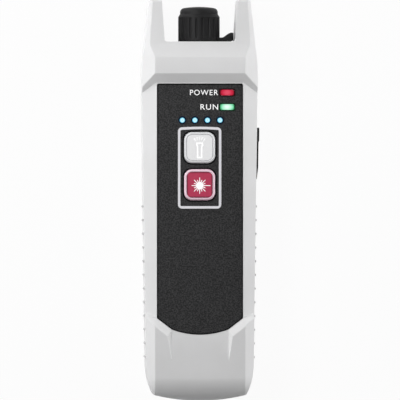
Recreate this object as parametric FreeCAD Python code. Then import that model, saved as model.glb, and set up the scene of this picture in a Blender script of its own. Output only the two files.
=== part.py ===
import FreeCAD, Part
import math
import os

from FreeCAD import Vector

os.makedirs("parts", exist_ok=True)

# A hand-held fibre optic tester, in millimetres. It lies on its back, with X to the right, Y towards
# the prongs and Z out of the front. The origin is the middle of the flat back.

# Casing outline, seen from the front
CASE_LENGTH = 164.0
TIP_WIDTH = 41.2  # across the outer faces of the prong tips
SHOULDER_WIDTH = 47.6
SHOULDER_DROP = 28.5  # widest place, below the prong tips
SHOULDER_RADIUS = 80.0
HIP_WIDTH = 44.0  # where the straight sides end
HIP_HEIGHT = 15.5  # above the foot's lowest point
FOOT_CORNER_WIDTH = 38.1
FOOT_CORNER_RISE = 2.5  # above the foot's lowest point
FOOT_CORNER_RADIUS = 1.2
PRONG_LENGTH = 17.35
PRONG_BEVEL_WIDTH = 1.25  # at the prong tips
PRONG_EDGE_RADIUS = 1.0
NOTCH_BASE_WIDTH = 28.8
NOTCH_MOUTH_WIDTH = 31.2
NOTCH_CORNER_RADIUS = 1.2

# Casing depth, seen from the side
CASE_DEPTH = 30.0  # at the collar and the chin
TIP_DEPTH = 27.2
PRONG_ROOT_DEPTH = 28.3
PRONG_ROOT_DROP = 1.2  # crease across the prongs' roots, below the notch base
COLLAR_DROP = 6.5  # upper edge of the collar's flat band, below the notch base
COLLAR_HEIGHT = 6.5
TIP_FRONT_RADIUS = 1.4
TIP_BACK_RADIUS = 3.0
FOOT_FRONT_RADIUS = 9.5
FOOT_BACK_RADIUS = 4.0
FACE_DROP = 2.8  # the face that carries the label lies this far behind the collar
STEP_RUN = 1.35  # run of the collar's step for each millimetre of drop
CHIN_RUN = 1.02  # run of the chin's step for each millimetre of rise

# Casing cross section
FRONT_FLAT_WIDTH = 36.8  # collar and chin, between their bevels
FRONT_BEVEL_SLOPE = 0.8
FACE_BEVEL_SLOPE = 0.33  # shallow bevels on both sides of the label
BACK_FLAT_WIDTH = 39.0
BACK_BEVEL_DEPTH = 5.0
FRONT_EDGE_RADIUS = 0.8
STEP_EDGE_RADIUS = 0.6
BACK_EDGE_RADIUS = 1.5

# Scoop in the chin, under the label's tip
SCOOP_LENGTH = 13.0
SCOOP_END_WIDTH = 23.4
SCOOP_SPREAD = 2.4  # outward lean of its side walls over their height

# Shell walls
WALL = 2.4
FRONT_WALL = 2.0
BACK_WALL = 2.2
TOP_WALL = 2.6
FOOT_WALL = 2.6
PARTING_Z = 12.0
CAVITY_CORNER_RADIUS = 2.0
CAVITY_FRONT_BEVEL = 2.4
CAVITY_BACK_BEVEL = 3.0

# Grip ribs on both sides
RIB_COUNT = 12
RIB_PITCH = 5.6
RIB_FIRST_Y = -2.6
RIB_WIDTH = 1.2
RIB_CREST_WIDTH = 0.5
RIB_RISE = 0.45
RIB_ROOT = 0.4  # depth of the rib's foot in the wall
RIB_BOTTOM_Z = 6.5
RIB_LENGTH = 17.5

# Label
LABEL_WIDTH = 35.0
LABEL_RIM = 0.4  # flat casing around the label
LABEL_SIDE_LENGTH = 95.7
LABEL_TAPER_HEIGHT = 4.6
LABEL_TAPER_WIDTH = 23.0
LABEL_TIP_DROP = 2.1
LABEL_CORNER_RADIUS = 0.8
LABEL_THICKNESS = 0.5
LABEL_RECESS = 0.15
LABEL_GAP = 0.1

# Keys, measured from the label's upper edge
KEY_WIDTH = 12.6
KEY_CORNER_RADIUS = 3.2
KEY_X = -0.15
TORCH_KEY_DROP = 26.1
KEY_PITCH = 15.15
KEY_RISE = 0.9
KEY_EDGE_BEVEL = 0.5
KEY_GAP = 0.25
KEY_TRAVEL = 0.6
KEY_FLANGE_WIDTH = 0.8
KEY_FLANGE_THICKNESS = 0.8
KEY_SEAT_GAP = 0.05
FIELD_RIM_WIDTH = 1.05
FIELD_THICKNESS = 0.5
FIELD_GAP = 0.05
OUTLINE_WIDTH = 17.9
OUTLINE_HEIGHT = 33.6
OUTLINE_DROP = 0.6  # its middle, below the middle between the keys
OUTLINE_STROKE = 1.2
OUTLINE_CORNER_RADIUS = 1.8
OUTLINE_INNER_RADIUS = 0.4
OUTLINE_ARCH = 0.35
OUTLINE_THICKNESS = 0.12
SEAL_SHEET_MARGIN = 4.0
SEAL_SHEET_THICKNESS = 0.8
SEAL_SHEET_GAP = 0.3

# Indicator windows and level lights, measured from the label's upper edge
WINDOW_X = 11.1
WINDOW_LENGTH = 5.6
WINDOW_HEIGHT = 2.2
WINDOW_CORNER_RADIUS = 0.5
RED_WINDOW_DROP = 3.6
WINDOW_PITCH = 5.9
LEVEL_DROP = 14.9
LEVEL_COUNT = 4
LEVEL_PITCH = 5.13
LEVEL_X = 0.5  # middle of the row
LEVEL_DIAMETER = 2.0
LENS_GAP = 0.05
LENS_RISE = 0.1  # above the label

# Main board
BOARD_STANDOFF = 4.15
BOARD_THICKNESS = 1.6
BOARD_WIDTH = 39.0
BOARD_TOP_DROP = 14.2  # below the notch base
BOARD_LENGTH = 56.0
BOARD_CORNER_RADIUS = 1.5
BOARD_SCREW_X = 16.8
BOARD_SCREW_INSET = 12.0  # of the upper one, from the board's upper edge
BOARD_SCREW_SPAN = 40.0
BOARD_BOSS_RADIUS = 2.4
BOARD_SCREW_RADIUS = 0.9
BOARD_HEAD_RADIUS = 1.9
BOARD_HEAD_HEIGHT = 1.3
BOARD_SCREW_GRIP = 3.0
SWITCH_WIDTH = 6.0
SWITCH_HEIGHT = 2.0
PLUNGER_RADIUS = 1.6
PLUNGER_DEPTH = 0.4
PLUNGER_GAP = 0.15
LAMP_HEIGHT = 0.9
LAMP_GAP = 0.2
CHIP_WIDTH = 7.0
CHIP_HEIGHT = 1.0
CHIP_DROP = 40.0  # below the board's upper edge

# Charging socket and its rubber cover, on the right side
SOCKET_DROP = 45.65  # below the notch base
SOCKET_LENGTH = 8.9
SOCKET_HEIGHT = 3.2
SOCKET_DEPTH = 7.4
SOCKET_WALL = 0.3
SOCKET_TONGUE = 0.7
SOCKET_MOUTH_GAP = 0.3
COVER_LENGTH = 21.2
COVER_WIDTH = 8.6
COVER_RECESS = 1.0
COVER_GAP = 0.25
COVER_CORNER_RADIUS = 2.0
COVER_RISE = 0.8
COVER_RISE_HINGE = 0.35
COVER_TAPER_LENGTH = 5.0  # from the hinge end to the full rise
COVER_LIP_LENGTH = 5.4  # finger lip at the free end
COVER_LIP_RISE = 0.25  # above the cover
PLUG_CLEARANCE = 0.3
PLUG_DEPTH = 1.0

# Laser port and dust cap
PORT_Z = 14.4
PORT_NECK_RADIUS = 5.0
PORT_NECK_GAP = 0.1
PORT_FLANGE_RADIUS = 6.2
PORT_FLANGE_THICKNESS = 2.0
PORT_BARREL_RADIUS = 4.0
PORT_HEIGHT = 10.4  # above the notch base
PORT_LIP = 0.5
PORT_LIP_RADIUS = 1.6
PORT_SOCKET_DEPTH = 4.5
PORT_SOCKET_WALL = 1.2
NUT_RADIUS = 6.3
NUT_HEIGHT = 2.0
SLEEVE_BORE_RADIUS = 1.26
SLEEVE_WALL = 0.5
SLEEVE_LENGTH = 11.4
SLEEVE_SLOT = 0.35
SLEEVE_GAP = 0.03
MODULE_RADIUS = 4.0
MODULE_LENGTH = 20.0
MODULE_GAP = 0.03
MODULE_BEAM_RADIUS = 0.8
LASER_BOARD_WIDTH = 6.4
LASER_BOARD_THICKNESS = 1.0
CAP_RADIUS = 8.5
CAP_TOP_RADIUS = 7.75
CAP_HEIGHT = 14.4
CAP_SHOULDER_DROP = 3.0
CAP_SHOULDER_HEIGHT = 1.4
CAP_EDGE_BEVEL = 1.3
CAP_BASE_GAP = 0.1
CAP_BORE_GAP = 0.15
CAP_NUT_GAP = 0.3
CAP_ROOF_GAP = 0.7
FLUTE_COUNT = 20
FLUTE_WIDTH = 1.0
FLUTE_FLOOR_WIDTH = 0.4
FLUTE_DEPTH = 0.4
FLUTE_BASE = 1.4  # plain band under the flutes
FLUTE_RIM = 0.3  # plain band between the flutes and the shoulder
TAB_REACH = 14.0  # from the port's axis
TAB_WIDTH = 7.0
TAB_THICKNESS = 1.5
TAB_END_THICKNESS = 3.5
TAB_END_LENGTH = 2.4

# Torch lamp in the top wall
TORCH_X = -11.2
TORCH_Z = 15.4
TORCH_RADIUS = 2.45
TORCH_GAP = 0.1
TORCH_BASE_RADIUS = 2.9
TORCH_BASE_HEIGHT = 1.0
TORCH_BODY_LENGTH = 8.0
TORCH_LEG_PITCH = 2.54
TORCH_LEG_WIDTH = 0.5

# Rechargeable cell in the rear shell
CELL_RADIUS = 7.05
CELL_LENGTH = 50.0
CELL_GAP = 0.2
CELL_NUB_RADIUS = 3.0
CELL_NUB_HEIGHT = 0.4
SADDLE_COUNT = 3
SADDLE_THICKNESS = 2.0
SADDLE_WIDTH = 24.0
SADDLE_INSET = 8.0
CONTACT_THICKNESS = 0.4
CONTACT_WIDTH = 9.0
CONTACT_TOP_Z = 13.0
CONTACT_GAP = 0.3
CONTACT_TAB_REACH = 2.4  # past the cell
CONTACT_TAB_HEIGHT = 3.0

# Case screws, from the back
CASE_SCREW_TOP_X = 16.6
CASE_SCREW_TOP_DROP = 9.8  # below the notch base
CASE_SCREW_FOOT_X = 15.4
CASE_SCREW_FOOT_HEIGHT = 20.0  # above the foot's lowest point
CASE_BOSS_RADIUS = 3.2
CASE_SCREW_RADIUS = 1.25
CASE_SCREW_GAP = 0.05
CASE_HEAD_RADIUS = 2.4
CASE_HEAD_HEIGHT = 2.2
CASE_HEAD_DEPTH = 3.2  # from the back to the head's outer face
CASE_HEAD_GAP = 0.2
CASE_SCREW_LENGTH = 14.0
DRIVE_RADIUS = 1.1
DRIVE_DEPTH = 1.2

# Seal cord between the shells
SEAL_WIDTH = 1.0
SEAL_DEPTH = 0.8
SEAL_GAP = 0.02
SEAL_PORT_GAP = 6.4  # each side of the port's axis, where the cord stops

# Wires
WIRE_RADIUS = 0.55
WIRE_GAP = 0.3
LASER_LEAD_X = 1.5

# Levels and places that follow
TIP_Y = CASE_LENGTH / 2
FOOT_Y = -CASE_LENGTH / 2
SHOULDER_Y = TIP_Y - SHOULDER_DROP
HIP_Y = FOOT_Y + HIP_HEIGHT
FOOT_CORNER_Y = FOOT_Y + FOOT_CORNER_RISE
NOTCH_Y = TIP_Y - PRONG_LENGTH
COLLAR_TOP_Y = NOTCH_Y - COLLAR_DROP
COLLAR_BASE_Y = COLLAR_TOP_Y - COLLAR_HEIGHT
FACE_Z = CASE_DEPTH - FACE_DROP
FACE_TOP_Y = COLLAR_BASE_Y - STEP_RUN * FACE_DROP
LABEL_TOP_Y = FACE_TOP_Y - LABEL_RIM
LABEL_SIDE_Y = LABEL_TOP_Y - LABEL_SIDE_LENGTH
LABEL_KNEE_Y = LABEL_SIDE_Y - LABEL_TAPER_HEIGHT
LABEL_TIP_Y = LABEL_KNEE_Y - LABEL_TIP_DROP
LABEL_FRONT_Z = FACE_Z - LABEL_RECESS
POCKET_Z = LABEL_FRONT_Z - LABEL_THICKNESS
FRONT_INNER_Z = POCKET_Z - FRONT_WALL
TOP_INNER_Y = NOTCH_Y - TOP_WALL
FOOT_INNER_Y = FOOT_CORNER_Y + FOOT_WALL
TORCH_KEY_Y = LABEL_TOP_Y - TORCH_KEY_DROP
LASER_KEY_Y = TORCH_KEY_Y - KEY_PITCH
KEYS_Y = (TORCH_KEY_Y + LASER_KEY_Y) / 2
OUTLINE_Y = KEYS_Y - OUTLINE_DROP
KEY_TOP_Z = LABEL_FRONT_Z + KEY_RISE
KEY_FLANGE_Z = FRONT_INNER_Z - KEY_SEAT_GAP
KEY_BOTTOM_Z = KEY_FLANGE_Z - KEY_FLANGE_THICKNESS
KEY_FLANGE_SIZE = KEY_WIDTH + 2 * KEY_FLANGE_WIDTH
BOARD_FRONT_Z = FRONT_INNER_Z - BOARD_STANDOFF
BOARD_BACK_Z = BOARD_FRONT_Z - BOARD_THICKNESS
BOARD_TOP_Y = NOTCH_Y - BOARD_TOP_DROP
BOARD_MIDDLE_Y = BOARD_TOP_Y - BOARD_LENGTH / 2
BOARD_SCREW_YS = (
    BOARD_TOP_Y - BOARD_SCREW_INSET,
    BOARD_TOP_Y - BOARD_SCREW_INSET - BOARD_SCREW_SPAN,
)
LENS_TOP_Z = LABEL_FRONT_Z + LENS_RISE
LENS_BOTTOM_Z = BOARD_FRONT_Z + LAMP_HEIGHT + LAMP_GAP
RED_WINDOW_Y = LABEL_TOP_Y - RED_WINDOW_DROP
GREEN_WINDOW_Y = RED_WINDOW_Y - WINDOW_PITCH
LEVEL_Y = LABEL_TOP_Y - LEVEL_DROP
LEVEL_XS = [LEVEL_X + (i - (LEVEL_COUNT - 1) / 2) * LEVEL_PITCH for i in range(LEVEL_COUNT)]
SOCKET_Y = NOTCH_Y - SOCKET_DROP
SOCKET_Z = BOARD_BACK_Z - SOCKET_HEIGHT / 2
CELL_Z = BACK_WALL + CELL_GAP + CELL_RADIUS
CELL_FOOT_Y = FOOT_INNER_Y + CONTACT_THICKNESS + CONTACT_GAP
CELL_TOP_Y = CELL_FOOT_Y + CELL_LENGTH
CELL_STOP_Y = CELL_TOP_Y + CELL_NUB_HEIGHT + CONTACT_GAP + CONTACT_THICKNESS
PORT_TOP_Y = NOTCH_Y + PORT_HEIGHT
PORT_BACK_Y = TOP_INNER_Y - PORT_FLANGE_THICKNESS - PORT_SOCKET_DEPTH
SLEEVE_RADIUS = SLEEVE_BORE_RADIUS + SLEEVE_WALL
SLEEVE_TOP_Y = PORT_TOP_Y - PORT_LIP
MODULE_FRONT_Y = PORT_BACK_Y + PORT_SOCKET_DEPTH
MODULE_BACK_Y = MODULE_FRONT_Y - MODULE_LENGTH
CAP_BASE_Y = NOTCH_Y + CAP_BASE_GAP
CAP_TOP_Y = CAP_BASE_Y + CAP_HEIGHT
TORCH_BASE_Y = TOP_INNER_Y - TORCH_BASE_HEIGHT
CASE_SCREW_SPOTS = [
    (side * CASE_SCREW_TOP_X, NOTCH_Y - CASE_SCREW_TOP_DROP) for side in (-1, 1)
] + [(side * CASE_SCREW_FOOT_X, FOOT_Y + CASE_SCREW_FOOT_HEIGHT) for side in (-1, 1)]
REACH = CASE_LENGTH  # half length of cutting prisms, past every face of the casing


def side_x(y):
    """Half width of the casing between the shoulder and the hip."""
    share = (SHOULDER_Y - y) / (SHOULDER_Y - HIP_Y)
    return (SHOULDER_WIDTH + share * (HIP_WIDTH - SHOULDER_WIDTH)) / 2


COVER_TOP_Y = SOCKET_Y + COVER_LENGTH / 2
COVER_HINGE_Y = SOCKET_Y - COVER_LENGTH / 2
COVER_FLOOR_X = side_x(SOCKET_Y) - COVER_RECESS
COVER_INNER_X = COVER_FLOOR_X + COVER_GAP
COVER_HINGE_RADIUS = (side_x(COVER_HINGE_Y) + COVER_RISE_HINGE - COVER_INNER_X) / 2
COVER_HINGE_X = COVER_INNER_X + COVER_HINGE_RADIUS
SOCKET_MOUTH_X = side_x(SOCKET_Y) - WALL - SOCKET_MOUTH_GAP


def prism(points, travel):
    """A straight prism on a closed polygon."""
    corners = [Vector(*p) for p in points]
    return Part.Face(Part.makePolygon(corners + corners[:1])).extrude(Vector(*travel))


def plate(points, z0, z1):
    """A polygon in XY, extruded from z0 to z1."""
    return prism([(x, y, z0) for x, y in points], (0, 0, z1 - z0))


def mirrored(points):
    """Right-hand points, then their mirror images on the left in reverse order."""
    return points + [(-x, y) for x, y in reversed(points)]


def block(x0, x1, y0, y1, z0, z1):
    return Part.makeBox(x1 - x0, y1 - y0, z1 - z0, Vector(x0, y0, z0))


def edges_along(solid, direction, spots=None, reach=0.01):
    """Straight edges along a direction, all of them or those that pass within reach of a spot."""
    axis = Vector(*direction)
    found = []
    for edge in solid.Edges:
        if not isinstance(edge.Curve, Part.Line):
            continue
        way = edge.Vertexes[-1].Point - edge.Vertexes[0].Point
        if way.cross(axis).Length > 1e-6 * way.Length:
            continue
        start = edge.Vertexes[0].Point
        if spots is None or any((Vector(*s) - start).cross(axis).Length < reach for s in spots):
            found.append(edge)
    return found


def rounded_block(x, y, width, height, radius, z0, z1):
    """A block standing on XY with rounded upright edges, centred on x and y."""
    box = block(x - width / 2, x + width / 2, y - height / 2, y + height / 2, z0, z1)
    return box.makeFillet(radius, edges_along(box, (0, 0, 1)))


def upright(radius, x, y, z0, z1):
    return Part.makeCylinder(radius, z1 - z0, Vector(x, y, z0))


def along_y(radius, x, z, y0, y1):
    return Part.makeCylinder(radius, y1 - y0, Vector(x, y0, z), Vector(0, 1, 0))


def turned(points):
    """A solid of revolution on the port's axis, from its (radius, y) outline."""
    corners = [Vector(r, y, PORT_Z) for r, y in points]
    face = Part.Face(Part.makePolygon(corners + corners[:1]))
    return face.revolve(Vector(0, 0, PORT_Z), Vector(0, 1, 0), 360)


def offset_face(face, margin):
    return face.makeOffset2D(margin, 2) if margin else face


def lifted(shape, z):
    moved = shape.copy()
    moved.translate(Vector(0, 0, z))
    return moved


def tangent_arc(start, inward, end):
    """The arc that leaves start at right angles to inward and ends at end."""
    chord = end - start
    radius = chord.dot(chord) / (2 * inward.dot(chord))
    centre = start + inward * radius
    middle = (start + end) * 0.5 - centre
    return Part.Arc(start, centre + middle.normalize() * radius, end).toShape()


def rounded_corner(before, corner, after, radius):
    """The arc that rounds an outline's corner, as its start, middle and end."""
    back = (before - corner).normalize()
    on = (after - corner).normalize()
    half = back.getAngle(on) / 2
    inward = (back + on).normalize()
    run = radius / math.tan(half)
    return (
        corner + back * run,
        corner + inward * (radius / math.sin(half) - radius),
        corner + on * run,
    )


def casing_outline():
    """The casing seen from the front, as a prism over its whole depth, without the notch."""
    edges = []
    ends = []
    for side in (-1, 1):
        middle = Vector(0, TIP_Y, 0)
        tip = Vector(side * TIP_WIDTH / 2, TIP_Y, 0)
        shoulder = Vector(side * SHOULDER_WIDTH / 2, SHOULDER_Y, 0)
        hip = Vector(side * HIP_WIDTH / 2, HIP_Y, 0)
        corner = Vector(side * FOOT_CORNER_WIDTH / 2, FOOT_CORNER_Y, 0)
        tip_arc = rounded_corner(middle, tip, shoulder, PRONG_EDGE_RADIUS)
        shoulder_arc = rounded_corner(tip, shoulder, hip, SHOULDER_RADIUS)
        edges += [
            Part.Arc(*tip_arc).toShape(),
            Part.makeLine(tip_arc[2], shoulder_arc[0]),
            Part.Arc(*shoulder_arc).toShape(),
            Part.makeLine(shoulder_arc[2], hip),
            tangent_arc(hip, Vector(-side, 0, 0), corner),
        ]
        ends.append((tip_arc[0], corner))
    edges.append(Part.makeLine(ends[0][0], ends[1][0]))
    edges.append(Part.Arc(ends[0][1], Vector(0, FOOT_Y, 0), ends[1][1]).toShape())
    solid = Part.Face(Part.Wire(Part.__sortEdges__(edges))).extrude(Vector(0, 0, CASE_DEPTH))
    spots = [corner for _, corner in ends]
    return solid.makeFillet(FOOT_CORNER_RADIUS, edges_along(solid, (0, 0, 1), spots))


def casing_profile():
    """The casing seen from the side, as a prism across its whole width."""
    outline = [
        (TIP_Y, 0),
        (TIP_Y, TIP_DEPTH),
        (NOTCH_Y - PRONG_ROOT_DROP, PRONG_ROOT_DEPTH),
        (COLLAR_TOP_Y, CASE_DEPTH),
        (FOOT_Y, CASE_DEPTH),
        (FOOT_Y, 0),
    ]
    solid = prism([(-REACH, y, z) for y, z in outline], (2 * REACH, 0, 0))
    for spot, radius in (
        ((0, TIP_Y, TIP_DEPTH), TIP_FRONT_RADIUS),
        ((0, TIP_Y, 0), TIP_BACK_RADIUS),
        ((0, FOOT_Y, 0), FOOT_BACK_RADIUS),
    ):
        solid = solid.makeFillet(radius, edges_along(solid, (1, 0, 0), [spot]))
    return solid


def casing_section():
    """The cross section at the collar and the chin, along the casing and over the foot's front."""
    side = SHOULDER_WIDTH / 2
    flat = FRONT_FLAT_WIDTH / 2
    back = BACK_FLAT_WIDTH / 2
    turn = Vector(0, FOOT_Y + FOOT_FRONT_RADIUS, CASE_DEPTH - FOOT_FRONT_RADIUS)
    front = [
        (flat, CASE_DEPTH),
        (side, CASE_DEPTH - FRONT_BEVEL_SLOPE * (side - flat)),
        (side, turn.z),
    ]
    ahead = prism([(x, turn.y, z) for x, z in mirrored(front)], (0, REACH, 0))
    spots = [(s * flat, 0, CASE_DEPTH) for s in (-1, 1)]
    ahead = ahead.makeFillet(FRONT_EDGE_RADIUS, edges_along(ahead, (0, 1, 0), spots))
    end = next(f for f in ahead.Faces if f.BoundBox.YMax < turn.y + 1e-6)
    over = end.revolve(turn, Vector(1, 0, 0), 90)
    rear = [(side, turn.z), (side, BACK_BEVEL_DEPTH), (back, 0)]
    behind = prism([(x, FOOT_Y, z) for x, z in mirrored(rear)], (0, 2 * REACH, 0))
    spots = [(s * back, 0, 0) for s in (-1, 1)]
    behind = behind.makeFillet(BACK_EDGE_RADIUS, edges_along(behind, (0, 1, 0), spots))
    return ahead.fuse([over, behind]).removeSplitter()


def prong_bevels():
    """Cuts that carry the collar's bevels on along the prongs, narrower towards the tips."""
    root_x = FRONT_FLAT_WIDTH / 2 + (CASE_DEPTH - PRONG_ROOT_DEPTH) / FRONT_BEVEL_SLOPE
    reach = SHOULDER_WIDTH / 2
    section = [(0, 0), (reach, -FRONT_BEVEL_SLOPE * reach), (reach, CASE_DEPTH)]
    cuts = []
    for side in (-1, 1):
        root = Vector(side * root_x, NOTCH_Y - PRONG_ROOT_DROP, PRONG_ROOT_DEPTH)
        tip = Vector(side * (TIP_WIDTH / 2 - PRONG_BEVEL_WIDTH), TIP_Y, TIP_DEPTH)
        run = tip - root
        start = root - run * 0.1
        points = [(start.x + side * x, start.y, start.z + z) for x, z in section]
        cuts.append(prism(points, tuple(run * 1.3)))
    return cuts


def notch():
    """The space between the prongs."""
    slope = (NOTCH_MOUTH_WIDTH - NOTCH_BASE_WIDTH) / 2 / PRONG_LENGTH
    over = PRONG_LENGTH + 5
    half = [(NOTCH_BASE_WIDTH / 2, NOTCH_Y), (NOTCH_BASE_WIDTH / 2 + slope * over, NOTCH_Y + over)]
    solid = plate(mirrored(half), -1, CASE_DEPTH + 1)
    spots = [(s * NOTCH_BASE_WIDTH / 2, NOTCH_Y, 0) for s in (-1, 1)]
    return solid.makeFillet(NOTCH_CORNER_RADIUS, edges_along(solid, (0, 0, 1), spots))


def waist_cut():
    """Takes the front down to the face beside the label, between the collar's step and the chin's."""
    flat = LABEL_WIDTH / 2 + LABEL_RIM
    far = SHOULDER_WIDTH
    half = [(flat, FACE_Z), (far, FACE_Z - FACE_BEVEL_SLOPE * (far - flat)), (far, CASE_DEPTH + 5)]
    above = prism([(x, -REACH, z) for x, z in mirrored(half)], (0, 2 * REACH, 0))
    low, high = FACE_Z - 3 * FACE_DROP, CASE_DEPTH + 2
    step_foot = Vector(-REACH, FACE_TOP_Y + STEP_RUN * (low - FACE_Z), low)
    step_edge = Vector(-REACH, COLLAR_BASE_Y, CASE_DEPTH)
    # the rounding runs out a few degrees before it lies flat in the collar
    onward = step_edge + Vector(0, 1, math.tan(math.radians(5)))
    start, middle, end = rounded_corner(step_foot, step_edge, onward, STEP_EDGE_RADIUS)
    rest = Part.makePolygon(
        [
            end,
            Vector(-REACH, end.y, high),
            Vector(-REACH, LABEL_SIDE_Y - CHIN_RUN * (high - FACE_Z), high),
            Vector(-REACH, LABEL_SIDE_Y - CHIN_RUN * (low - FACE_Z), low),
            step_foot,
            start,
        ]
    )
    wire = Part.Wire([Part.Arc(start, middle, end).toShape()] + rest.Edges)
    return above.common(Part.Face(wire).extrude(Vector(2 * REACH, 0, 0)))


def label_taper():
    """Unit normal of the label's right-hand slanted edge, pointing away from the label."""
    run = (LABEL_WIDTH - LABEL_TAPER_WIDTH) / 2
    return Vector(LABEL_TAPER_HEIGHT, -run, 0).normalize()


def vee_cut():
    """Takes the chin down along the label's slanted edges, with sloping walls."""
    normal = label_taper()
    side = Vector(LABEL_WIDTH / 2 + LABEL_RIM, LABEL_SIDE_Y, 0)
    knee = Vector(LABEL_TAPER_WIDTH / 2, LABEL_KNEE_Y, 0) + normal * LABEL_RIM
    wires = []
    for z in (FACE_Z, CASE_DEPTH + 1):
        away = normal * (CHIN_RUN * (z - FACE_Z))
        right = [(side.x + away.x, KEYS_Y)] + [(p.x, p.y) for p in (side + away, knee + away)]
        corners = [Vector(x, y, z) for x, y in mirrored(right)]
        wires.append(Part.makePolygon(corners + corners[:1]))
    return Part.makeLoft(wires, True, True)


def scoop_cut():
    """The shallow scoop that rises from the label's tip to the chin."""
    rise = FACE_DROP
    over = 1.3  # carries the walls on past the chin's surface
    normal = label_taper()
    knee = Vector(LABEL_TAPER_WIDTH / 2, LABEL_KNEE_Y, 0) + normal * LABEL_RIM
    tip_y = LABEL_TIP_Y - LABEL_RIM
    end_x = knee.x + over * (SCOOP_END_WIDTH / 2 - knee.x)
    end_knee_y = knee.y - over * SCOOP_LENGTH
    end_tip_y = tip_y - over * SCOOP_LENGTH
    top_y = LABEL_SIDE_Y
    wires = []
    for z, top_x, x, y, tip in (
        (FACE_Z, knee.x, knee.x, knee.y, tip_y),
        (FACE_Z + over * rise, knee.x + over * SCOOP_SPREAD, end_x, end_knee_y, end_tip_y),
    ):
        arc = Part.Arc(Vector(x, y, z), Vector(0, tip, z), Vector(-x, y, z)).toShape()
        edges = [
            Part.makeLine(Vector(top_x, top_y, z), Vector(x, y, z)),
            arc,
            Part.makeLine(Vector(-x, y, z), Vector(-top_x, top_y, z)),
            Part.makeLine(Vector(-top_x, top_y, z), Vector(top_x, top_y, z)),
        ]
        wires.append(Part.Wire(edges))
    return Part.makeLoft(wires, True, True)


def casing_form():
    """The closed outer form of the casing, before it is split and hollowed."""
    form = casing_outline().common(casing_profile()).common(casing_section())
    return form.cut([notch(), waist_cut(), vee_cut(), scoop_cut()] + prong_bevels()).removeSplitter()


def wall_loop(z0, z1, margin=0.0):
    """The inner outline of the side walls, grown by margin, as a prism between two levels."""
    slope = (SHOULDER_WIDTH - TIP_WIDTH) / 2 / SHOULDER_DROP
    top_x = TIP_WIDTH / 2 + slope * (TIP_Y - TOP_INNER_Y) - WALL + margin
    foot_x = FOOT_CORNER_WIDTH / 2 - WALL + margin
    top_y, foot_y = TOP_INNER_Y + margin, FOOT_INNER_Y - margin
    half = [
        (top_x, top_y),
        (SHOULDER_WIDTH / 2 - WALL + margin, SHOULDER_Y),
        (HIP_WIDTH / 2 - WALL + margin, HIP_Y),
        (foot_x, foot_y),
    ]
    space = plate(mirrored(half), z0, z1)
    spots = [(s * x, y, 0) for s in (-1, 1) for x, y in ((top_x, top_y), (foot_x, foot_y))]
    return space.makeFillet(CAVITY_CORNER_RADIUS + margin, edges_along(space, (0, 0, 1), spots))


def hollow():
    """The room inside both shells, with bevelled long edges that follow the casing's bevels."""
    side = SHOULDER_WIDTH / 2
    half = [
        (side - WALL - CAVITY_FRONT_BEVEL, FRONT_INNER_Z),
        (side, FRONT_INNER_Z - CAVITY_FRONT_BEVEL - WALL),
        (side, BACK_WALL + CAVITY_BACK_BEVEL + WALL),
        (side - WALL - CAVITY_BACK_BEVEL, BACK_WALL),
    ]
    section = prism([(x, -REACH, z) for x, z in mirrored(half)], (0, 2 * REACH, 0))
    return wall_loop(BACK_WALL, FRONT_INNER_Z).common(section)


def grip_ribs():
    """The upright ribs on both sides, each with slanted flanks."""
    flank = (RIB_WIDTH - RIB_CREST_WIDTH) / 2 / RIB_RISE
    foot = RIB_WIDTH / 2 + flank * RIB_ROOT
    ribs = []
    for i in range(RIB_COUNT):
        y = RIB_FIRST_Y - i * RIB_PITCH
        wall = side_x(y)
        section = [
            (wall - RIB_ROOT, y - foot),
            (wall + RIB_RISE, y - RIB_CREST_WIDTH / 2),
            (wall + RIB_RISE, y + RIB_CREST_WIDTH / 2),
            (wall - RIB_ROOT, y + foot),
        ]
        for side in (-1, 1):
            outline = [(side * x, y) for x, y in section]
            ribs.append(plate(outline, RIB_BOTTOM_Z, RIB_BOTTOM_Z + RIB_LENGTH))
    return ribs


def wall_openings():
    """Holes in the top wall and the right wall, which both shells share."""
    port = along_y(PORT_NECK_RADIUS + PORT_NECK_GAP, 0, PORT_Z, TOP_INNER_Y - 1, NOTCH_Y + 1)
    torch = along_y(TORCH_RADIUS + TORCH_GAP, TORCH_X, TORCH_Z, TOP_INNER_Y - 1, NOTCH_Y + 1)
    recess = cover_plate_space(COVER_GAP)
    mouth = socket_prism(PLUG_CLEARANCE, SOCKET_MOUTH_X, COVER_FLOOR_X + COVER_GAP)
    return [port, torch, recess, mouth]


def socket_prism(margin, x0, x1):
    """The charging socket's rounded outline, grown by margin, between two X planes."""
    length = SOCKET_LENGTH + 2 * margin
    height = SOCKET_HEIGHT + 2 * margin
    box = block(
        x0,
        x1,
        SOCKET_Y - length / 2,
        SOCKET_Y + length / 2,
        SOCKET_Z - height / 2,
        SOCKET_Z + height / 2,
    )
    return box.makeFillet(height / 2 - 0.05, edges_along(box, (1, 0, 0)))


def cover_plate_space(margin):
    """The recess for the socket's cover in the casing's side, or the room the cover fills in it."""
    x0 = COVER_FLOOR_X if margin else COVER_INNER_X
    half = COVER_WIDTH / 2 + margin
    box = block(
        x0,
        side_x(SOCKET_Y) + 2 * COVER_RISE,
        COVER_HINGE_Y - margin,
        COVER_TOP_Y + margin,
        SOCKET_Z - half,
        SOCKET_Z + half,
    )
    ends = [(0, COVER_TOP_Y + margin, SOCKET_Z + s * half) for s in (-1, 1)]
    return box.makeFillet(COVER_CORNER_RADIUS + margin, edges_along(box, (1, 0, 0), ends))


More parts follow.
